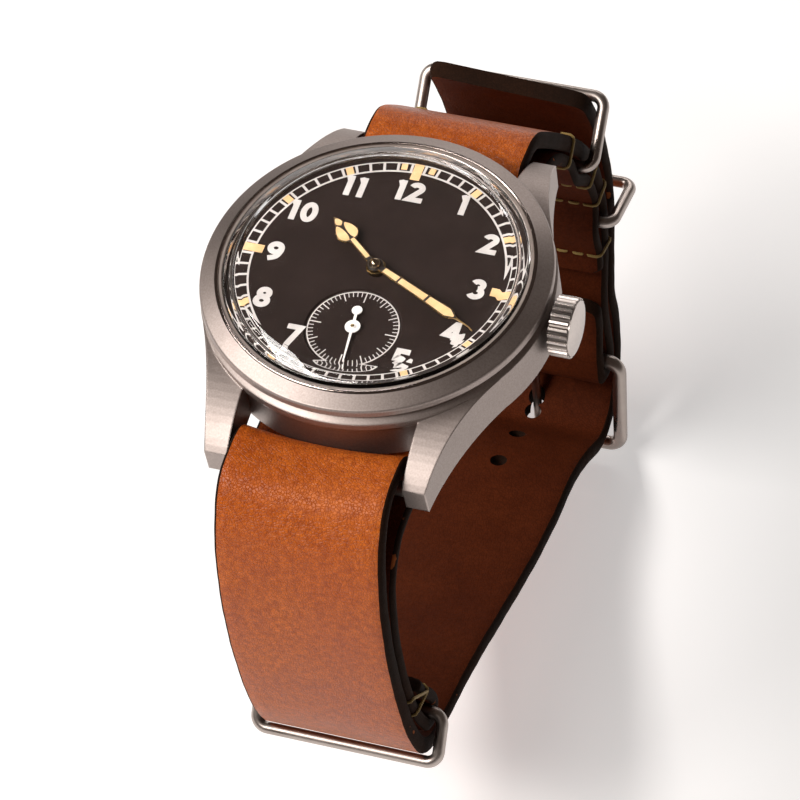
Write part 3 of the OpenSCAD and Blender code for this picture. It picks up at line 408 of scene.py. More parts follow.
def edge_wear_group():
    """Rounds the look of hard edges and finds them, so that they can shine. Its mask marks edges that wear
    has polished, and where a finish lightens its colour by the mask, that is a painted highlight.
    """
    group, given, out = new_group("edge_wear_and_highlight", [("Radius", FLOAT, 0.0001), ("Patchiness", FLOAT, 0.4)],
                                  [("Mask", FLOAT), ("Normal", VECTOR)])
    rounded = node(group, "ShaderNodeBevel", {"Radius": given["Radius"]}, samples=6).outputs[0]
    flat = node(group, "ShaderNodeNewGeometry").outputs["Normal"]
    facing = node(group, "ShaderNodeVectorMath", {0: rounded, 1: flat}, operation="DOT_PRODUCT")
    edge = ramp(group, facing.outputs["Value"], 0.995, 0.90)
    patches = ramp(group, noise(group, object_place(group), 700), 0.35, 0.65)
    kept = math_node(group, "SUBTRACT", 1.0, math_node(group, "MULTIPLY", given["Patchiness"], patches))
    feed(group, out, {"Mask": math_node(group, "MULTIPLY", edge, kept, clamp=True), "Normal": rounded})
    return group


def blasted_group():
    """Fine pitted grain of bead-blasted metal and soft smudges over it."""
    group, given, out = new_group("blasted_grain", [("Grain", FLOAT, 6000.0), ("Smudge", FLOAT, 120.0)],
                                  [("Height", FLOAT), ("Speckle", FLOAT), ("Smudge", FLOAT)])
    place = object_place(group)
    fine = noise(group, place, given["Grain"], 4, 0.7)
    pits = node(group, "ShaderNodeTexVoronoi", {"Vector": place, "Scale": given["Grain"]}).outputs["Distance"]
    feed(group, out, {
        "Height": math_node(group, "ADD", fine, math_node(group, "MULTIPLY", pits, 0.5)),
        "Speckle": ramp(group, fine, 0.3, 0.7),
        "Smudge": ramp(group, noise(group, place, given["Smudge"], 4), 0.35, 0.68),
    })
    return group


def leather_group():
    """Pebbled hide: small cells with creases between them, blotches, pores and slow changes of tone."""
    group, given, out = new_group("leather_grain", [("Cells", FLOAT, 1700.0), ("Tone", FLOAT, 110.0)],
                                  [("Height", FLOAT), ("Crease", FLOAT), ("Tone", FLOAT), ("Mottle", FLOAT)])
    place = object_place(group)
    warp = node(group, "ShaderNodeTexNoise", {"Vector": place, "Scale": 900, "Detail": 2}).outputs["Color"]
    shift = node(group, "ShaderNodeVectorMath", {0: warp, "Scale": 0.0005}, operation="SCALE").outputs[0]
    moved = node(group, "ShaderNodeVectorMath", {0: place, 1: shift}, operation="ADD").outputs[0]
    cells = node(group, "ShaderNodeTexVoronoi", {"Vector": moved, "Scale": given["Cells"]},
                 feature="DISTANCE_TO_EDGE")
    creases = ramp(group, cells.outputs["Distance"], 0.0, 0.16)
    fine = noise(group, place, 7000, 4, 0.65)
    blotches = weighted_sum(group, (noise(group, place, 1500, 4, 0.7), 0.7), (fine, 0.3))
    feed(group, out, {
        "Height": weighted_sum(group, (creases, 0.55), (fine, 0.35), (noise(group, place, 420), 0.6)),
        "Crease": math_node(group, "SUBTRACT", 1.0, creases),
        "Tone": ramp(group, noise(group, place, given["Tone"], 5, 0.6), 0.3, 0.7),
        "Mottle": ramp(group, blotches, 0.40, 0.60),
    })
    return group


def brushed_group():
    """Fine straight scratches along one direction of the object's space."""
    group, given, out = new_group("brushed_lines", [("Along", VECTOR, None)],
                                  [("Height", FLOAT), ("Lines", FLOAT)])
    squeezed = node(group, "ShaderNodeVectorMath", {0: object_place(group), 1: given["Along"]},
                    operation="MULTIPLY")
    lines = noise(group, squeezed.outputs[0], 1.0, 3, 0.7)
    feed(group, out, {"Height": lines, "Lines": ramp(group, lines, 0.3, 0.7)})
    return group


def axis_group():
    """The distance from an axis through Centre. Across is 0 along the axis and 1 across it."""
    group, given, out = new_group("distance_from_axis", [("Centre", VECTOR, None), ("Across", VECTOR, None)],
                                  [("Radius", FLOAT)])
    moved = node(group, "ShaderNodeVectorMath", {0: object_place(group), 1: given["Centre"]},
                 operation="SUBTRACT")
    across = node(group, "ShaderNodeVectorMath", {0: moved.outputs[0], 1: given["Across"]},
                  operation="MULTIPLY")
    length = node(group, "ShaderNodeVectorMath", {0: across.outputs[0]}, operation="LENGTH")
    feed(group, out, {"Radius": length.outputs["Value"]})
    return group


EDGE_WEAR_AND_HIGHLIGHT = edge_wear_group()
BLASTED = blasted_group()
LEATHER = leather_group()
BRUSHED = brushed_group()
AXIS = axis_group()


# Finishes

def nodes_of(material):
    return material.node_tree, material.node_tree.nodes["Principled BSDF"]


def new_material(name):
    material = bpy.data.materials.new(name)
    material.use_nodes = True
    return material, *nodes_of(material)


def from_group(tree, group, **values):
    """The results of a node group with its inputs set."""
    return node(tree, "ShaderNodeGroup", values, node_tree=group).outputs


def show(tree, surface):
    feed(tree, tree.nodes["Material Output"], {"Surface": surface})


def blasted_steel(name, dark, light, rough, edge_rough, edge_r=0.00012, depth=0.000004):
    """Bead-blasted metal that wear polishes smoother on its edges, where a painted highlight also makes its
    colour brighter.
    """
    material, tree, shader = new_material(name)
    grain = from_group(tree, BLASTED, Grain=5200.0, Smudge=90.0)
    wear_and_highlight = from_group(tree, EDGE_WEAR_AND_HIGHLIGHT, Radius=edge_r, Patchiness=0.3)
    body = blend_colours(tree, grain["Speckle"], dark, light)
    # Painted highlight: a lighter colour on the edges
    edge_highlight_colour = tuple(min(1, c * 1.12) for c in light)
    dull = ramp(tree, grain["Smudge"], 0, 1, rough - 0.04, rough + 0.05)
    feed(tree, shader, {
        "Metallic": 1.0,
        "Base Color": blend_colours(tree, wear_and_highlight["Mask"], body, edge_highlight_colour),
        "Roughness": blend_values(tree, wear_and_highlight["Mask"], dull, edge_rough),
        "Normal": bump(tree, grain["Height"], depth, wear_and_highlight["Normal"]),
    })
    return material


def polished_metal(name, dark, light, rough):
    material, tree, shader = new_material(name)
    grain = from_group(tree, BLASTED, Grain=2600.0, Smudge=160.0)
    wear_and_highlight = from_group(tree, EDGE_WEAR_AND_HIGHLIGHT, Radius=0.00005, Patchiness=0.2)
    feed(tree, shader, {
        "Metallic": 1.0,
        "Base Color": blend_colours(tree, grain["Smudge"], dark, light),
        "Roughness": ramp(tree, grain["Smudge"], 0, 1, rough, rough * 1.5 + 0.02),
        "Normal": bump(tree, grain["Speckle"], 0.0000004, wear_and_highlight["Normal"]),
    })
    return material


def brushed_metal(name, dark, light, rough, along):
    material, tree, shader = new_material(name)
    lines = from_group(tree, BRUSHED, Along=along)
    wear_and_highlight = from_group(tree, EDGE_WEAR_AND_HIGHLIGHT, Radius=0.00006, Patchiness=0.2)
    feed(tree, shader, {
        "Metallic": 1.0,
        "Base Color": blend_colours(tree, lines["Lines"], dark, light),
        "Roughness": ramp(tree, lines["Lines"], 0, 1, rough - 0.05, rough + 0.08),
        "Normal": bump(tree, lines["Height"], 0.000002, wear_and_highlight["Normal"]),
    })
    return material


def painted(name, dark, light, rough, grain_scale, depth, tone_scale=300.0, shine=0.5):
    """A matt layer such as the dial's lacquer, its print or its lume."""
    material, tree, shader = new_material(name)
    grain = from_group(tree, BLASTED, Grain=grain_scale, Smudge=tone_scale)
    feed(tree, shader, {
        "Base Color": blend_colours(tree, grain["Smudge"], dark, light),
        "Roughness": ramp(tree, grain["Speckle"], 0, 1, rough - 0.06, rough + 0.06),
        "Normal": bump(tree, grain["Height"], depth),
        "Specular IOR Level": shine,
    })
    return material


def leather(name, dark, mid, light, rough, depth, mottle, shine, cells=3100.0, crease_tone_and_shade=0.42):
    material, tree, shader = new_material(name)
    hide = from_group(tree, LEATHER, Cells=cells, Tone=95.0)
    tone = blend_colours(tree, hide["Tone"], mid, light)
    mottled = blend_colours(tree, math_node(tree, "MULTIPLY", hide["Mottle"], mottle), tone, dark)
    # Darker in the creases between the cells: partly the grain's own tone, partly painted shade
    creases = math_node(tree, "MULTIPLY", hide["Crease"], crease_tone_and_shade)
    feed(tree, shader, {
        "Base Color": blend_colours(tree, creases, mottled, dark),
        "Roughness": ramp(tree, hide["Tone"], 0, 1, rough - 0.05, rough + 0.07),
        "Normal": bump(tree, hide["Height"], depth),
        "Specular IOR Level": shine,
    })
    return material


def crystal_glass():
    """Clear glass with faint smears, which lets the light through to the dial."""
    material, tree, shader = new_material("crystal_glass")
    feed(tree, shader, {
        "Base Color": (1.0, 1.0, 1.0, 1),
        "Transmission Weight": 1.0,
        "IOR": 1.5,
        "Roughness": ramp(tree, noise(tree, object_place(tree), 180, 4), 0.45, 0.75, 0.0, 0.02),
    })
    clear = node(tree, "ShaderNodeBsdfTransparent").outputs[0]
    in_shadow = node(tree, "ShaderNodeLightPath").outputs["Is Shadow Ray"]
    show(tree, node(tree, "ShaderNodeMixShader", {0: in_shadow, 1: shader.outputs[0], 2: clear}).outputs[0])
    return material


def ruby_jewel():
    material, tree, shader = new_material("ruby_jewel")
    grain = from_group(tree, BLASTED, Grain=3000.0, Smudge=900.0)
    feed(tree, shader, {
        "Base Color": blend_colours(tree, grain["Smudge"], (0.42, 0.01, 0.04), (0.62, 0.03, 0.09)),
        "Roughness": 0.08,
        "Coat Weight": 0.4,
    })
    return material


def sewing_thread():
    """Waxed thread with the twist of its strands as a bump, and darker bands along the twist that are painted
    shade in the grooves between the strands.
    """
    material, tree, shader = new_material("sewing_thread")
    twist = node(tree, "ShaderNodeTexWave", {"Vector": object_place(tree), "Scale": 2600, "Distortion": 1.0},
                 wave_type="BANDS", bands_direction="DIAGONAL").outputs["Fac"]
    feed(tree, shader, {
        # Painted shade: the twist's grooves are darker bands in the colour
        "Base Color": blend_colours(tree, twist, (0.24, 0.15, 0.035), (0.52, 0.36, 0.11)),
        "Roughness": ramp(tree, twist, 0, 1, 0.75, 0.5),
        "Normal": bump(tree, twist, 0.00004),
    })
    return material


# Where the bezel's dull inner ring begins and ends, and the outer edge of its chamfer
inner_ring_from = crystal_r + 0.02
inner_ring_to = crystal_r - 0.04
chamfer_r = crystal_r + 0.70
chamfer_blur = 0.04
# Where painted shade darkens the crown's grooves, by the distance from its axis and along it
flute_top_r = crown_r - 0.10
flute_foot_r = crown_r - 0.25
flute_end_from = crown_end - 0.45
flute_end_to = crown_end - 0.65


def bezel_metal():
    """Blasted like the case, with a polished chamfer round the crystal and a dull inner ring."""
    material = blasted_steel("bezel_steel", (0.335, 0.28, 0.257), (0.45, 0.382, 0.354), 0.47, 0.24)
    tree, shader = nodes_of(material)
    radius = from_group(tree, AXIS, Across=(1, 1, 0))["Radius"]
    inside = ramp(tree, radius, inner_ring_from * MM, inner_ring_to * MM)
    polished = ramp(tree, radius, (chamfer_r + chamfer_blur) * MM, (chamfer_r - chamfer_blur) * MM)
    slope = ramp(tree, radius, crystal_r * MM, chamfer_r * MM)
    feed(tree, shader, {
        "Base Color": blend_colours(tree, inside, fed_by(shader, "Base Color"), (0.42, 0.35, 0.31)),
        "Roughness": blend_values(tree, polished, fed_by(shader, "Roughness"), 0.10),
        "Normal": bump(tree, slope, 0.00035, fed_by(shader, "Normal")),
    })
    return material


def crown_metal():
    """Smoother than the case, with a colour lighter than the case's steel that is a painted highlight, and
    painted shade in the grooves between the flutes.
    """
    # Painted highlight: these steel colours are lighter than the case's so that the crown looks lit
    material = blasted_steel("crown_steel", (0.58, 0.515, 0.485), (0.72, 0.65, 0.61), 0.33, 0.16,
                             edge_r=0.00006, depth=0.000002)
    tree, shader = nodes_of(material)
    radius = from_group(tree, AXIS, Centre=(0, 0, crown_z * MM), Across=(0, 1, 1))["Radius"]
    along = node(tree, "ShaderNodeSeparateXYZ", {0: object_place(tree)}).outputs["X"]
    deep = ramp(tree, radius, flute_top_r * MM, flute_foot_r * MM)
    fluted = ramp(tree, along, flute_end_from * MM, flute_end_to * MM)
    # Painted shade: the grooves between the flutes are darkened towards near black
    painted_groove_shade = math_node(tree, "MULTIPLY", math_node(tree, "MULTIPLY", deep, fluted), 0.8)
    feed(tree, shader, {
        "Base Color": blend_colours(tree, painted_groove_shade, fed_by(shader, "Base Color"), (0.035, 0.025, 0.02)),
    })
    return material


def worn_edge():
    """A dark edge with small flecks where its finish has gone and the tan shows."""
    material = leather("burnt_edge", (0.006, 0.0035, 0.0025), (0.014, 0.0075, 0.005), (0.035, 0.015, 0.008),
                       0.75, 0.00003, mottle=0.3, shine=0.05, cells=3000.0, crease_tone_and_shade=0.3)
    tree, shader = nodes_of(material)
    fleck = ramp(tree, noise(tree, object_place(tree), 330), 0.665, 0.69)
    feed(tree, shader, {
        "Base Color": blend_colours(tree, fleck, fed_by(shader, "Base Color"), (0.42, 0.12, 0.035)),
    })
    return material


case_steel = blasted_steel("case_steel", (0.33, 0.275, 0.252), (0.44, 0.375, 0.347), 0.49, 0.26, 0.00025)
bezel_steel = bezel_metal()
crown_steel = crown_metal()
wire_steel = polished_metal("wire_steel", (0.37, 0.315, 0.285), (0.48, 0.42, 0.385), 0.27)
bright_steel = brushed_metal("bright_steel", (0.58, 0.55, 0.52), (0.74, 0.71, 0.68), 0.24, (300, 6000, 300))
nickel = brushed_metal("striped_nickel", (0.56, 0.53, 0.48), (0.74, 0.71, 0.66), 0.28, (5000, 250, 250))
brass = brushed_metal("gilt_brass", (0.62, 0.42, 0.16), (0.82, 0.62, 0.30), 0.22, (2500, 2500, 300))
gilt_edge = polished_metal("gilt_edge", (0.30, 0.18, 0.06), (0.55, 0.36, 0.14), 0.22)
cap_metal = polished_metal("cap_metal", (0.46, 0.36, 0.24), (0.66, 0.55, 0.40), 0.07)
dial_black = painted("dial_black", (0.0130, 0.0075, 0.0060), (0.018, 0.0108, 0.0090), 0.55, 5200.0,
                     0.0000025, shine=0.1)
print_white = painted("print_white", (0.49, 0.455, 0.435), (0.60, 0.565, 0.54), 0.5, 4200.0, 0.000004)
hand_white = painted("hand_white", (0.74, 0.70, 0.66), (0.84, 0.80, 0.76), 0.38, 3000.0, 0.000002)
lume_cream = painted("lume_cream", (0.69, 0.415, 0.19), (0.82, 0.54, 0.28), 0.7, 6500.0, 0.000006, 700.0)
rib_black = painted("rib_black", (0.012, 0.009, 0.008), (0.02, 0.015, 0.012), 0.4, 4000.0, 0.000002)
nylon = painted("nylon", (0.27, 0.225, 0.20), (0.36, 0.30, 0.27), 0.4, 3000.0, 0.000003)
seal_black = painted("seal_black", (0.018, 0.018, 0.018), (0.035, 0.035, 0.035), 0.5, 3000.0, 0.000003)
tan_grain = leather("tan_grain", (0.31, 0.048, 0.004), (0.61, 0.124, 0.010), (0.76, 0.186, 0.021),
                    0.36, 0.00006, mottle=0.7, shine=0.3)
dark_flesh = leather("dark_flesh", (0.028, 0.005, 0.0015), (0.085, 0.016, 0.005), (0.135, 0.028, 0.008),
                     0.7, 0.00004, mottle=0.3, shine=0.06, cells=2600.0, crease_tone_and_shade=0.3)
burnt_edge = worn_edge()
thread = sewing_thread()
glass = crystal_glass()
ruby = ruby_jewel()

finish_of_slot = {
    "steel": case_steel, "bright_steel": bright_steel, "nickel": nickel, "brass": brass,
    "lume": lume_cream, "dial": dial_black, "crystal": glass, "ruby": ruby, "seal": seal_black,
    "leather": tan_grain, "leather_dark": dark_flesh,
}
wire_parts = ("lower_ring", "keeper_ring_1", "keeper_ring_2", "buckle_frame", "buckle_tongue",
              "spring_bar_12", "spring_bar_6")
finish_of_node = {name: wire_steel for name in wire_parts}
finish_of_node |= {"crown": crown_steel, "bezel": bezel_steel, "crystal_seal": nylon,
                   "seconds_hand": hand_white}
for part in frame["record"]["subparts"]:
    mesh = frame["nodes"][part["node"]].data
    mesh.materials.clear()
    mesh.materials.append(finish_of_node.get(part["node"], finish_of_slot[part["material_slot"]]))


# Dial print: a railroad minute track, upright numerals, lume marks and the small seconds

print_lift = 0.004
print_z = dial_z + print_lift
print_t = 0.012
# How much higher a printed line ends than one that it crosses
layer_t = 0.003
track_in = 12.98
track_out = 14.08
track_in_w = 0.20
track_out_w = 0.13
tie_w = 0.27
track_steps = 240
sub_track_r = 4.6
sub_track_w = 0.12
sub_tick_r = 4.56
sub_wall_r = 4.95
sub_steps = 160
# Length and width of the small seconds' ticks, by how often they come
sub_ticks = {15: (1.2, 0.12), 5: (0.95, 0.11), 1: (0.55, 0.085)}


def clock(r, minute, centre=(0, 0)):
    return Vector(centre) + polar(r, 90 - 6 * minute)


def print_line(bm, points, width, z=print_z, layer=0, closed=False):
    add_stroke(bm, points, width, z, z + print_t + layer * layer_t, closed)


def print_circle(bm, centre, r, count, width, z=print_z):
    print_line(bm, arc(centre, r, 0, 360, count)[:-1], width, z, closed=True)


def minute_track():
    bm = bmesh.new()
    for r, w in ((track_in, track_in_w), (track_out, track_out_w)):
        print_circle(bm, (0, 0), r, track_steps, w)
    for minute in range(60):
        half = minute + 0.5
        print_line(bm, [clock(track_in, half), clock(track_out, half)], tie_w, layer=-1)
    finish_mesh("minute_track", bm, [print_white], "watch", crease=None)


def small_seconds_track():
    bm = bmesh.new()
    centre = (0, sub_y)
    z = sub_z + print_lift
    print_circle(bm, centre, sub_track_r, sub_steps, sub_track_w, z)
    for second in range(60):
        length, width = next(size for every, size in sub_ticks.items() if second % every == 0)
        ends = [clock(sub_tick_r, second, centre), clock(sub_tick_r - length, second, centre)]
        print_line(bm, ends, width, z, layer=-1)
    finish_mesh("small_seconds_track", bm, [print_white], "watch", crease=None)


def recess_wall():
    """Lines the small seconds' recess and gives its upper edge a lip."""
    inner_r = sub_wall_r - 0.09
    lip_r = sub_wall_r + 0.08
    lip_z = dial_z + 0.012
    profile = [(inner_r, sub_z + 0.002), (sub_wall_r, sub_z + 0.002), (sub_wall_r, lip_z), (lip_r, lip_z),
               (lip_r, dial_z + 0.001), (sub_wall_r - 0.02, dial_z - 0.02)]
    bm = bmesh.new()
    add_lathe(bm, profile, sub_steps, (0, sub_y))
    finish_mesh("small_seconds_edge", bm, [dial_black], "watch")


# Each digit is its width and its pen strokes in a box one unit high
pen = 0.245
half_pen = pen / 2
top = 1 - half_pen
digit_gap = 0.10
numeral_h = 2.58
numeral_width = 1.14
numeral_r = {12: 10.54, 1: 11.6, 2: 11.62, 3: 10.64, 4: 11.45, 5: 11.7, 7: 11.17, 8: 11.61, 9: 10.85,
             10: 11.3, 11: 11.46}


def pen_line(points):
    return points, False


def pen_loop(x, y, rx, ry, count):
    return oval((x, y), rx, ry, 0, 360, count)[:-1], True


digit_strokes = {
    "0": (0.62, [pen_loop(0.31, 0.5, 0.195, 0.38, 40)]),
    "1": (0.375, [pen_line(path((0.25, 0), (0.25, 1))), pen_line(path((0.09, 0.83), (0.25, 0.915)))]),
    "2": (0.62, [pen_line(oval((0.30, 0.70), 0.185, 0.175, 165, -25, 18)
                          + path((0.13, half_pen), (0.62, half_pen)))]),
    "3": (0.60, [pen_line(oval((0.27, 0.70), 0.175, 0.175, 155, -80, 20)),
                 pen_line(oval((0.27, 0.32), 0.20, 0.20, 80, -155, 22))]),
    "4": (0.66, [pen_line(path((0.43, 0), (0.43, 1))),
                 pen_line(path((0.40, 0.93), (0.10, 0.34), (0.66, 0.29)))]),
    "5": (0.60, [pen_line(path((0.56, top), (0.16, top), (0.14, 0.52))
                          + oval((0.27, 0.33), 0.21, 0.21, 112, -150, 24))]),
    "7": (0.60, [pen_line(path((0.02, top), (0.50, top), (0.22, 0)))]),
    "8": (0.61, [pen_loop(0.30, 0.70, 0.165, 0.175, 32), pen_loop(0.30, 0.315, 0.195, 0.195, 32)]),
    "9": (0.62, [pen_loop(0.31, 0.68, 0.195, 0.20, 36),
                 pen_line(spline([(0.505, 0.70), (0.50, 0.52), (0.40, 0.27), (0.15, half_pen + 0.01)], 8))]),
}


def numerals():
    bm = bmesh.new()
    for hour, r in numeral_r.items():
        at = clock(r, hour * 5)
        digits = [digit_strokes[digit] for digit in str(hour)]
        x = -(sum(width for width, _ in digits) + digit_gap * (len(digits) - 1)) / 2
        layer = 0
        for width, strokes in digits:
            for points, closed in strokes:
                placed = [at + Vector(((p[0] + x) * numeral_h * numeral_width, (p[1] - 0.5) * numeral_h))
                          for p in points]
                print_line(bm, placed, pen * numeral_h, layer=layer, closed=closed)
                layer += 1
            x += width + digit_gap
    finish_mesh("numerals", bm, [print_white], "watch", crease=None)


# Inner end, outer end and width of the lume marks, and the minute of the pair beside twelve
long_mark = (12.05, 14.1, 0.98)
short_mark = (13.06, 14.0, 0.74)
pair_mark = (13.2, 13.95, 0.62)
pair_minute = 1.05
mark_foot = print_z + 0.002
mark_top = print_z + 0.055


def lume_marks():
    bm = bmesh.new()
    marks = {hour * 5: long_mark if hour in (3, 9, 12) else short_mark for hour in range(1, 13) if hour != 6}
    marks |= {-pair_minute: pair_mark, pair_minute: pair_mark}
    for minute, (inner, outer, width) in marks.items():
        add_stroke(bm, [clock(inner, minute), clock(outer, minute)], width, mark_foot, mark_top)
    finish_mesh("lume_marks", bm, [lume_cream], "watch", crease=None)


minute_track()
small_seconds_track()
recess_wall()
numerals()
lume_marks()


# Hands: a gilt rim, a dark face, lume and a hub

rim_w = 0.05
least_half = 0.012
# The underside and top of each layer over the hand's underside, its finish and its slot
hand_layers = {
    "rim": (0.0, hand_t - 0.03, gilt_edge, "brass"),
    "face": (0.06, hand_t - 0.018, rib_black, "brass"),
    "lume": (0.05, hand_t + 0.012, lume_cream, "lume"),
}
hub_chamfer = 0.03
hub_steps = 64
cap_sink = 0.02
cap_tip_r = 0.001


def mirrored_outline(widths):
    """A closed outline from [distance, half width] along +Y."""
    side = spline(widths, 6)
    return path(*[(x, y) for y, x in side], *[(-x, y) for y, x in reversed(side)])


def shrunk(shape):
    """The same half widths, less a rim."""
    return [(at, max(half - rim_w, least_half)) for at, half in shape]


def hand_pieces(body, z, degrees, outlines, hub_r, bore_r, hub_finish):
    """A piece for each layer of a hand, from the layer's outlines, and one for its hub."""
    pieces = []
    for layer, shapes in outlines.items():
        z0, z1, material, slot = hand_layers[layer]
        bm = bmesh.new()
        for shape in shapes:
            add_plate(bm, turned(shape, degrees), z + z0, z + z1)
        pieces.append(finish_mesh(f"{body}_hand_{layer}", bm, [material], body, crease=None))
    bm = bmesh.new()
    z1 = z + hand_t
    profile = [(bore_r, z), (hub_r, z), (hub_r, z1 - hub_chamfer), (hub_r - hub_chamfer, z1), (bore_r, z1)]
    add_lathe(bm, profile, hub_steps)
    pieces.append(finish_mesh(f"{body}_hand_hub", bm, [hub_finish], body))
    return pieces


def hour_hand():
    shape = [(0.5, 0.34), (2.4, 0.34), (4.1, 0.36), (4.4, 0.62), (4.9, 1.06), (5.5, 1.16), (6.2, 1.0),
             (6.8, 0.6), (hour_len - 0.9, 0.45), (hour_len - 0.45, 0.26), (hour_len, 0.03)]
    inner = shrunk(shape[:-1]) + [(hour_len - 0.1, least_half)]
    stem = path((-0.22, 1.5), (0.22, 1.5), (0.21, 4.50), (-0.21, 4.50))
    tip = spline([(0.0, 6.62), (0.34, 6.95), (0.27, 7.35), (0.0, 7.72), (-0.27, 7.35), (-0.34, 6.95),
                  (0.0, 6.62)], 4)[:-1]
    petal = spline([(0.30, 4.50), (0.66, 4.62), (1.00, 5.05), (1.06, 5.5), (0.92, 6.1), (0.62, 6.62),
                    (0.40, 6.72), (0.22, 6.30), (0.12, 5.7), (0.13, 5.0), (0.30, 4.50)], 5)[:-1]
    other_petal = [Vector((-p[0], p[1])) for p in reversed(petal)]
    outlines = {"rim": [mirrored_outline(shape)], "face": [mirrored_outline(inner)],
                "lume": [stem, tip, petal, other_petal]}
    for piece in hand_pieces("hour", hour_hand_z, hour_angle, outlines, 0.98, 0.60, gilt_edge):
        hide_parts("hour_hand")


def minute_hand():
    shape = [(0.5, 0.34), (1.2, 0.38), (3.2, 0.43), (7.1, 0.48), (minute_len - 3, 0.62),
             (minute_len - 2.2, 0.26), (minute_len - 1.7, 0.10), (minute_len, 0.04)]
    inner = shrunk(shape[:-2]) + [(minute_len - 1.8, 0.03)]
    bars = [path((-w0, start), (w0, start), (w1, end), (-w1, end))
            for start, end, w0, w1 in ((1.25, 3.15, 0.27, 0.315), (3.40, 6.95, 0.315, 0.365))]
    bars.append(path((-0.37, 7.25), (0.37, 7.25), (0.49, 9.9), (0.08, 10.75), (-0.08, 10.75),
                     (-0.49, 9.9)))
    outlines = {"rim": [mirrored_outline(shape)], "face": [mirrored_outline(inner)], "lume": bars}
    pieces = hand_pieces("minute", minute_hand_z, minute_angle, outlines, 0.80, 0.30, rib_black)
    cap_z = minute_hand_z + hand_t
    foot = cap_z - cap_sink
    profile = [(cap_tip_r, foot), (cap_r, foot)]
    profile += [(max(r, cap_tip_r), z) for r, z in arc((0, cap_z), cap_r, 0, 90, 15)]
    bm = bmesh.new()
    add_lathe(bm, profile, hub_steps)
    pieces.append(finish_mesh("minute_hand_cap", bm, [cap_metal], "minute"))
    for piece in pieces:
        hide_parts("minute_hand")


hour_hand()
minute_hand()


# Crystal: a box crystal with a domed top and softly rounded edges

shoulder_w = 2.0
shoulder_steps = 40
# How steeply the shoulder falls, in degrees, from its inner edge (0) to its outer one (1)
shoulder_tilts = [(0.0, 7), (0.12, 28), (0.66, 34), (1.0, 88)]
inner_fillet = 0.85
dome_steps = 24
dome_tip_r = 0.0005


def between(stops, u):
    """Reads a value from a list of (place, value) stops."""
    for (u0, v0), (u1, v1) in zip(stops, stops[1:]):
        if u <= u1:
            return lerp(v0, v1, (u - u0) / (u1 - u0))
    return stops[-1][1]


def crystal():
    dome = crystal_top - crystal_edge
    dome_r = (crystal_r ** 2 + dome ** 2) / (2 * dome)
    inner_r = crystal_r - crystal_wall
    inner_top = crystal_top - crystal_wall

    def dome_z(r, top_z):
        return top_z - dome_r + math.sqrt(dome_r ** 2 - r ** 2)

    def dome_line(edge_r, top_z):
        radii = [edge_r * i / dome_steps for i in range(dome_steps + 1)]
        return [(max(r, dome_tip_r), dome_z(r, top_z)) for r in radii]

    shoulder = [Vector((0, 0))]
    for i in range(shoulder_steps):
        tilt = between(shoulder_tilts, (i + 0.5) / shoulder_steps)
        shoulder.append(shoulder[-1] + polar(1, -tilt))
    scale = shoulder_w / shoulder[-1][0]
    flat_r = crystal_r - shoulder_w
    flat_z = dome_z(flat_r, crystal_top)
    fillet_r = inner_r - inner_fillet
    fillet_z = dome_z(fillet_r, inner_top) - inner_fillet
    profile = [(inner_r, crystal_foot), (crystal_r, crystal_foot)]
    profile += [(flat_r + p[0] * scale, flat_z + p[1] * scale) for p in reversed(shoulder[1:])]
    profile += reversed(dome_line(flat_r, crystal_top))
    profile += dome_line(fillet_r, inner_top)
    profile += arc((fillet_r, fillet_z), inner_fillet, 80, 0, 8)
    bm = bmesh.new()
    add_lathe(bm, profile, 256)
    piece = finish_mesh("box_crystal", bm, [glass], "watch", crease=50)
    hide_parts("crystal")


crystal()


# Strap. Its route is the one that the solids follow, in [y, z]

route_steps = 10
fold_steps = 24
buckle_bar = Vector((35.2, -47))
fold_r = 0.8 + leather_gap + strap_t / 2
bar_turn_r = bar_r + leather_gap + strap_t / 2
under_z = -leather_gap - strap_t / 2
under_turn_r = strap_t / 2 + 0.25
under_y = bar_y - bar_turn_r - under_turn_r
flap_z = under_z - strap_t / 2 - leather_gap - flap_t / 2
inner_route = [(37, -43.8), (37, -38.8), (38.7, -33.3), (39.8, -29.4), (40.2, -25.2), (39.6, -20.2),
               (37.9, -15), (35.2, -10.2), (31.4, -5), (27.4, -0.1), (24.8, 2.6), (22.8, 3.4)]
front_route = [(-22.8, 3.5), (-25, 2.8), (-27.3, -0.2), (-28.7, -4.6), (-29.5, -10), (-29.7, -17),
               (-29.1, -25), (-28, -31), (-25.9, -35.9), (-22.2, -38), (-17, -39.4), (-11, -41.2),
               (-4.5, -43.7), (2.2, -46.3), (8.4, -48.5), (15.1, -50.2), (21.5, -51.2), (26.5, -53.6),
               (31.3, -56.4), (35.9, -55), (38.9, -50.2), (39.8, -44.8), (39.5, -39.6), (40.9, -34),
               (42.2, -29.6), (42.8, -25), (42.5, -19.6), (41.6, -14.4), (40.1, -10.4), (38.6, -7.2)]
lower_ring_out = Vector((-27, -37.2))
lower_ring_in = lower_ring_out + polar(5.4, 48.7)
flap_fold_r = wire_r + leather_gap + flap_t / 2
flap_route_12 = [(37, -33), (37.4, -30.2), (37, -26.4), (38.1, -22.4), (37.6, -19.8), (36.4, -16.9),
                 (33.9, -14), (33, -11), (32.5, -9.7), (29.6, -5.7), (26.2, -3.3)]
flap_route_6 = [(-23.4, -3.2), (-26, -5.9), (-27.4, -10.4), (-27.9, -17), (-27.35, -24.8), (-26.5, -29.2),
                (-25.5, -31.9)]
inner_line = spline(inner_route, route_steps)
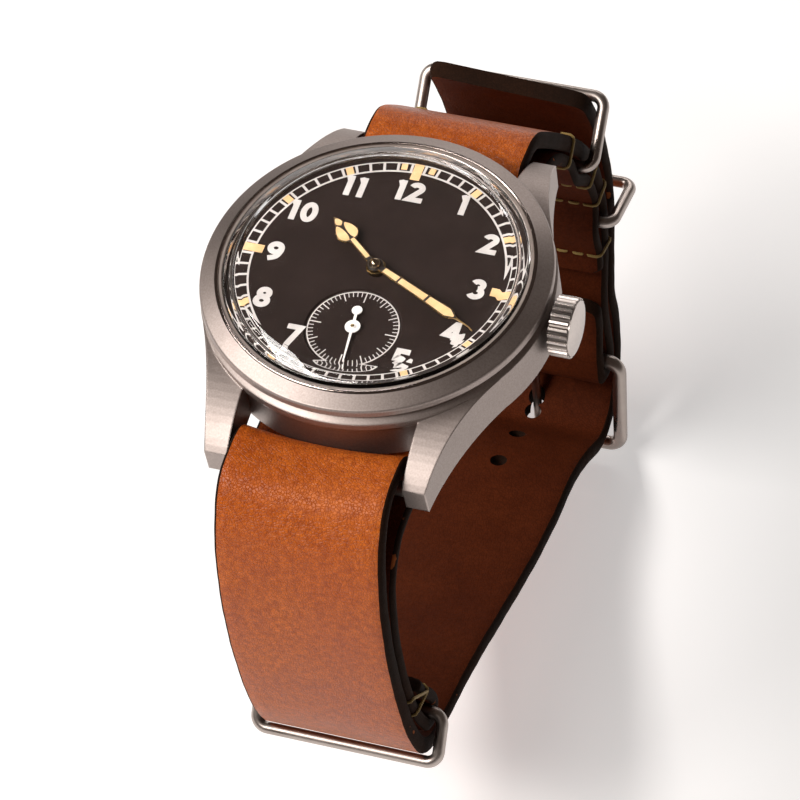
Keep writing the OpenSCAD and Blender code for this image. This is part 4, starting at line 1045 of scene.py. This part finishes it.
main_line = (path((35, -37), (34.7, -40.5), (33.7, -44)) + arc(buckle_bar, fold_r, 185, 350, fold_steps)
             + inner_line + arc((bar_y, bar_z), bar_turn_r, 80, 180, 20)
             + arc((under_y, under_z + under_turn_r), under_turn_r, 0, -90, 10)
             + arc((-under_y, under_z + under_turn_r), under_turn_r, -90, -180, 10)
             + arc((-bar_y, bar_z), bar_turn_r, 0, 100, 20) + spline(front_route, route_steps))
lower_fold = arc(lower_ring_in, flap_fold_r, 195, 385, fold_steps)
folded_end = path((-22.9, -30.6), (-24.3, -28.4), (-25.3, -25.6))
flap_line = (spline(flap_route_12 + [(bar_y + 2, flap_z)], route_steps)
             + path((bar_y - 2, flap_z), (2 - bar_y, flap_z))
             + spline([(-bar_y - 0.6, flap_z)] + flap_route_6, route_steps) + lower_fold + folded_end)

GRAIN, FLESH, EDGE = 0, 1, 2
strip_step = 0.4
face_steps = 14
edge_reach = 0.42
# How much a strip stays inside its solid: at each edge, and of its thickness
side_room = 0.03
skin_room = 0.02
lift_reach = 9


def section(half_w, t):
    """Half round edges on a flat strip: [x, height] and the finish of the face after each point."""
    flat = half_w - edge_reach
    half = [(lerp(-flat, flat, i / face_steps), -t / 2) for i in range(face_steps + 1)]
    half += oval((flat, 0), edge_reach, t / 2, -60, 60, 4)
    edges = [EDGE] * (len(half) - face_steps)
    kinds = [GRAIN] * face_steps + edges + [FLESH] * face_steps + edges
    return half + [(-x, -h) for x, h in half], kinds


def ease(u):
    """Goes softly from 0 to 1."""
    u = min(max(u, 0.0), 1.0)
    return u * u * (3 - 2 * u)


def leather_strip(line, t, end_r, waver, dark_until=0.0, lift=(0.0, 0.0), cups=()):
    """A strip of leather along a line, with round corners and a slightly uneven edge.

    Up to dark_until from its start both faces are dark. Its far end stands up by the lift at its
    left and right edge. Each cup is a distance along the strip, a reach and a height by which the
    edges curl to the outer side.
    """
    line = softened(evenly(line, strip_step), 3)
    total = strip_step * (len(line) - 1)
    bm = bmesh.new()
    rings = []
    kinds_of = []
    for i, p in enumerate(line):
        d = direction_at(line, i)
        side = Vector((-d[1], d[0]))
        s = strip_step * i
        to_end = min(s, total - s)
        cut = 0.0
        if to_end < end_r:
            cut = end_r - math.sqrt(end_r ** 2 - (end_r - to_end) ** 2)
        wave = waver * (math.sin(s * 0.9) + 0.6 * math.sin(s * 2.3 + 1)) / 1.6
        points, kinds = section(strap_half - side_room - cut - waver + wave / 2, t - skin_room)
        if s < dark_until:
            kinds = [FLESH if kind == GRAIN else kind for kind in kinds]
        kinds_of.append(kinds)
        rise = ease(1 - (total - s) / lift_reach)
        ring = []
        for x, h in points:
            for centre, reach, height in cups:
                h -= height * (x / strap_half) ** 2 * ease(1 - abs(s - centre) / reach)
            up = rise * lerp(lift[0], lift[1], 0.5 + 0.5 * x / strap_half)
            ring.append(bm.verts.new((x, p[0] + side[0] * h, p[1] + side[1] * h + up)))
        rings.append(ring)
    for a, b, kinds in zip(rings, rings[1:], kinds_of):
        add_ring_of_faces(bm, [a, b], material=kinds)
    for ring in (rings[0], rings[-1]):
        bm.faces.new(ring).material_index = EDGE
    return bm


def nearest_index(line, point, start=0):
    """The index of the line's point nearest to another, of those after start and before the last."""
    return min(range(start + 1, len(line) - 1), key=lambda i: (line[i] - Vector(point)).length)


def length_to(line, point):
    """The distance along a line to its point that lies nearest to another."""
    nearest = nearest_index(line, point)
    return sum((b - a).length for a, b in zip(line[:nearest], line[1:nearest + 1]))


def walk(line, start, length):
    """The point and its direction a length along a line from one of its points."""
    i = start
    step = 1 if length >= 0 else -1
    left = abs(length)
    while left > (line[i + step] - line[i]).length:
        left -= (line[i + step] - line[i]).length
        i += step
    d = (line[i + step] - line[i]).normalized()
    return line[i] + d * left, d * step


def in_space(x, at):
    """A point or direction in [y, z], with an x."""
    return Vector((x, at[0], at[1]))


hole_r = 0.95
hole_pitch = 6.5
holes_before = 2
holes_after = 3
# The point of the strap's line from which the tongue's hole is looked for
tail_start = len(main_line) - 200
buckle_depth = 12
buckle_angle = -102.5
tongue_tip = buckle_bar + polar(buckle_depth - 1.5, buckle_angle)
# The hole under the tongue: how far it turns from the buckle's way, how deep it lies and its reach
tongue_hole_turn = 6.4
tongue_hole_depth = buckle_depth - 1.7
tongue_hole_reach = 3.2
# The slot for the tongue at the fold: its half width, and how far it goes round the buckle's bar
slot_half = 1.4
slot_back = 4
slot_ahead = 2.7
slot_up = 2


def round_cutter(at, direction, reach):
    """A round punch through a point in [y, z], along a direction in that plane."""
    bm = bmesh.new()
    along = in_space(0, direction)
    side = Vector((1, 0, 0))
    ends = [in_space(0, at) - along * reach, in_space(0, at) + along * reach]
    rings = [add_circle(bm, end, side, along.cross(side), hole_r, 32) for end in ends]
    add_capped_rings(bm, rings, EDGE)
    return bm


def slot_cutter():
    bm = bmesh.new()
    y, z = buckle_bar
    outline = [(-slot_half, y - slot_back), (slot_half, y - slot_back), (slot_half, y + slot_ahead),
               (-slot_half, y + slot_ahead)]
    add_plate(bm, outline, z - slot_back, z + slot_up, EDGE)
    return bm


def long_strap():
    nearest = nearest_index(main_line, tongue_tip, tail_start - 1)
    cutters = []
    for i in range(-holes_before, holes_after + 1):
        at, d = walk(main_line, nearest, i * hole_pitch)
        cutters.append(round_cutter(at, Vector((-d[1], d[0])), strap_t))
    tilt = polar(1, buckle_angle + tongue_hole_turn)
    cutters.append(round_cutter(buckle_bar + tilt * tongue_hole_depth, tilt, tongue_hole_reach))
    cutters.append(slot_cutter())
    over_6 = length_to(main_line, (-bar_y, bar_z + bar_turn_r))
    over_12 = length_to(main_line, (bar_y, bar_z + bar_turn_r))
    strip = leather_strip(main_line, strap_t, end_r=1.3, waver=0.05, dark_until=12, lift=(2.0, 0.8),
                          cups=((over_6, 9, 0.75), (over_12, 7, 0.4)))
    piece = finish_mesh("leather_strap", carved(strip, cutters), [tan_grain, dark_flesh, burnt_edge],
                        "watch", crease=50)
    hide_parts("strap_main")


def short_strap():
    strip = leather_strip(flap_line, flap_t, end_r=0.6, waver=0.04)
    piece = finish_mesh("leather_flap", strip, [dark_flesh, dark_flesh, burnt_edge], "watch",
                        crease=50)
    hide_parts("strap_flap")


long_strap()
short_strap()


# Stitching: short threads that dip into the leather at both ends

thread_r = 0.16
thread_sides = 8
# The radius of a thread's ends as a share of its own
thread_taper = 0.45
stitch_len = 1.9
stitch_gap = 0.2
stitch_x = 7.3
# Where rows of stitches cross the strap: by the keeper rings, and at the fold round the lower ring
pocket_rows = ((31.5, -8.1), (37.0, -17.4), (38.1, -22.4), (37.4, -30.1))
fold_rows = ((-27.2, -24.8), (-27.0, -27.8))
fold_start = len(flap_line) - len(lower_fold) - len(folded_end)
past_fold = fold_start + 14


def add_thread(bm, points):
    """A round thread through points in space."""
    rings = []
    up = direction_at(points, 0).orthogonal().normalized()
    for i, p in enumerate(points):
        d = direction_at(points, i)
        side = d.cross(up).normalized()
        up = side.cross(d).normalized()
        r = thread_r
        if i in (0, len(points) - 1):
            r *= thread_taper
        rings.append(add_circle(bm, p, side, up, r, thread_sides))
    add_capped_rings(bm, rings)


def face_of(line, i, t, facing):
    """The strip's face at a point of its line, on its inner (1) or outer (-1) side, and its normal."""
    d = direction_at(line, i)
    side = Vector((-d[1], d[0])) * facing
    return line[i] + side * t / 2, side


def add_stitch_row(bm, at, out):
    """Stitches across the strap on one face."""
    count = round(2 * stitch_x / stitch_len)
    for k in range(count):
        x0 = lerp(-stitch_x, stitch_x, k / count) + stitch_gap
        x1 = lerp(-stitch_x, stitch_x, (k + 1) / count) - stitch_gap
        points = []
        for j in range(7):
            u = j / 6
            lift = thread_r * 0.7 - 0.3 * (2 * u - 1) ** 4
            points.append(in_space(lerp(x0, x1, u), at + out * lift))
        add_thread(bm, points)


def add_edge_stitch(bm, side, a, out_a, b, out_b):
    """A thread that goes round the strap's edge from face a to face b."""
    rim = strap_half + thread_r * 0.3
    over = thread_r * 0.6
    # Each point is a distance from the strap's middle and a height over the face
    half = [(stitch_x, -0.2), (stitch_x + 0.3, over), (rim - 0.5, over), (rim - 0.1, -0.15), (rim, -0.5)]
    points = [in_space(side * x, a + out_a * h) for x, h in half]
    points += [in_space(side * x, b + out_b * h) for x, h in reversed(half)]
    add_thread(bm, points)


def sew(bm, row, a, b):
    """A row of stitches on one face, and a thread round each edge from face a to face b."""
    add_stitch_row(bm, *row)
    for side in (-1, 1):
        add_edge_stitch(bm, side, *a, *b)


def stitching():
    bm = bmesh.new()
    for near in pocket_rows:
        i = nearest_index(flap_line, near)
        a = face_of(flap_line, i, flap_t, 1)
        b = face_of(inner_line, nearest_index(inner_line, flap_line[i]), strap_t, -1)
        sew(bm, a, a, b)
    for near in fold_rows:
        a = face_of(flap_line, nearest_index(flap_line[:fold_start], near), flap_t, -1)
        b = face_of(flap_line, nearest_index(flap_line, near, past_fold), flap_t, -1)
        sew(bm, b, a, b)
    finish_mesh("strap_stitching", bm, [thread], "watch")


stitching()


# Floor, lights and camera

floor_z = cad_box[0][2] - 0.0004
floor_radii = (1, 200, 600, 3000)


def show_white(tree, shader, amount):
    """Lifts a backdrop towards white where it is looked at, and adds no light to the object."""
    ray = node(tree, "ShaderNodeLightPath").outputs
    seen = math_node(tree, "MAXIMUM", ray["Is Camera Ray"], ray["Is Glossy Ray"])
    seen = math_node(tree, "MAXIMUM", seen, ray["Is Transmission Ray"])
    dark, glow = [node(tree, "ShaderNodeEmission", {"Strength": level}).outputs[0]
                  for level in (0.0, amount)]
    lift = node(tree, "ShaderNodeMixShader", {0: seen, 1: dark, 2: glow}).outputs[0]
    show(tree, node(tree, "ShaderNodeAddShader", {0: shader.outputs[0], 1: lift}).outputs[0])


def pale_floor():
    material, tree, shader = new_material("pale_floor")
    feed(tree, shader, {"Base Color": (0.80, 0.79, 0.785, 1), "Roughness": 0.9, "Specular IOR Level": 0.1})
    show_white(tree, shader, 0.45)
    bm = bmesh.new()
    centre = Vector((0, 0, floor_z / MM))
    rings = [add_circle(bm, centre, Vector((1, 0, 0)), Vector((0, 1, 0)), r, 64) for r in floor_radii]
    add_ring_of_faces(bm, rings)
    bm.faces.new(rings[0])
    piece = add_solid("floor", bm, [material])


def soft_light(name, azimuth, elevation, distance, size, power, colour):
    """A soft box that shines at the origin from an azimuth and elevation in degrees."""
    light = bpy.data.lights.new(name, "AREA")
    light.shape = "RECTANGLE"
    light.size, light.size_y = size
    light.energy = power
    light.color = colour
    level, height = polar(1, elevation)
    out = Vector((*polar(level, azimuth), height))
    piece = add_object(name, light)
    piece.location = out * distance
    piece.rotation_euler = out.to_track_quat("Z", "Y").to_euler()


def dark_studio():
    world = bpy.data.worlds.new("studio")
    bpy.context.scene.world = world
    world.use_nodes = True
    tree = world.node_tree
    feed(tree, tree.nodes["Background"], {"Color": (0.068, 0.053, 0.045, 1), "Strength": 1.0})


# The view of the photograph, through a long lens
camera_at = Vector((144.22, -287.71, 392.80)) * MM
camera_right = Vector((0.9428, 0.3136, -0.1130))
camera_forward = Vector((-0.2788, 0.5560, -0.7831))


def photo_camera():
    data = bpy.data.cameras.new("photo_camera")
    data.sensor_width = 36
    data.lens = 225
    data.clip_start = 0.01
    data.clip_end = 20
    piece = add_object("photo_camera", data)
    back = -camera_forward.normalized()
    up = back.cross(camera_right).normalized()
    right = up.cross(back).normalized()
    turn = Matrix((right, up, back)).transposed().to_4x4()
    piece.matrix_world = Matrix.Translation(camera_at) @ turn
    bpy.context.scene.camera = piece


pale_floor()
soft_light("key_softbox", -154, 48, 0.60, (0.56, 0.115), 3.3, (1.0, 0.97, 0.94))
soft_light("front_softbox", -114, 51, 0.75, (0.34, 0.07), 1.35, (1.0, 0.96, 0.92))
soft_light("back_softbox", 97, 20, 0.60, (0.42, 0.06), 0.6, (1.0, 0.97, 0.95))
dark_studio()
photo_camera()
bpy.context.scene.view_settings.view_transform = "Standard"
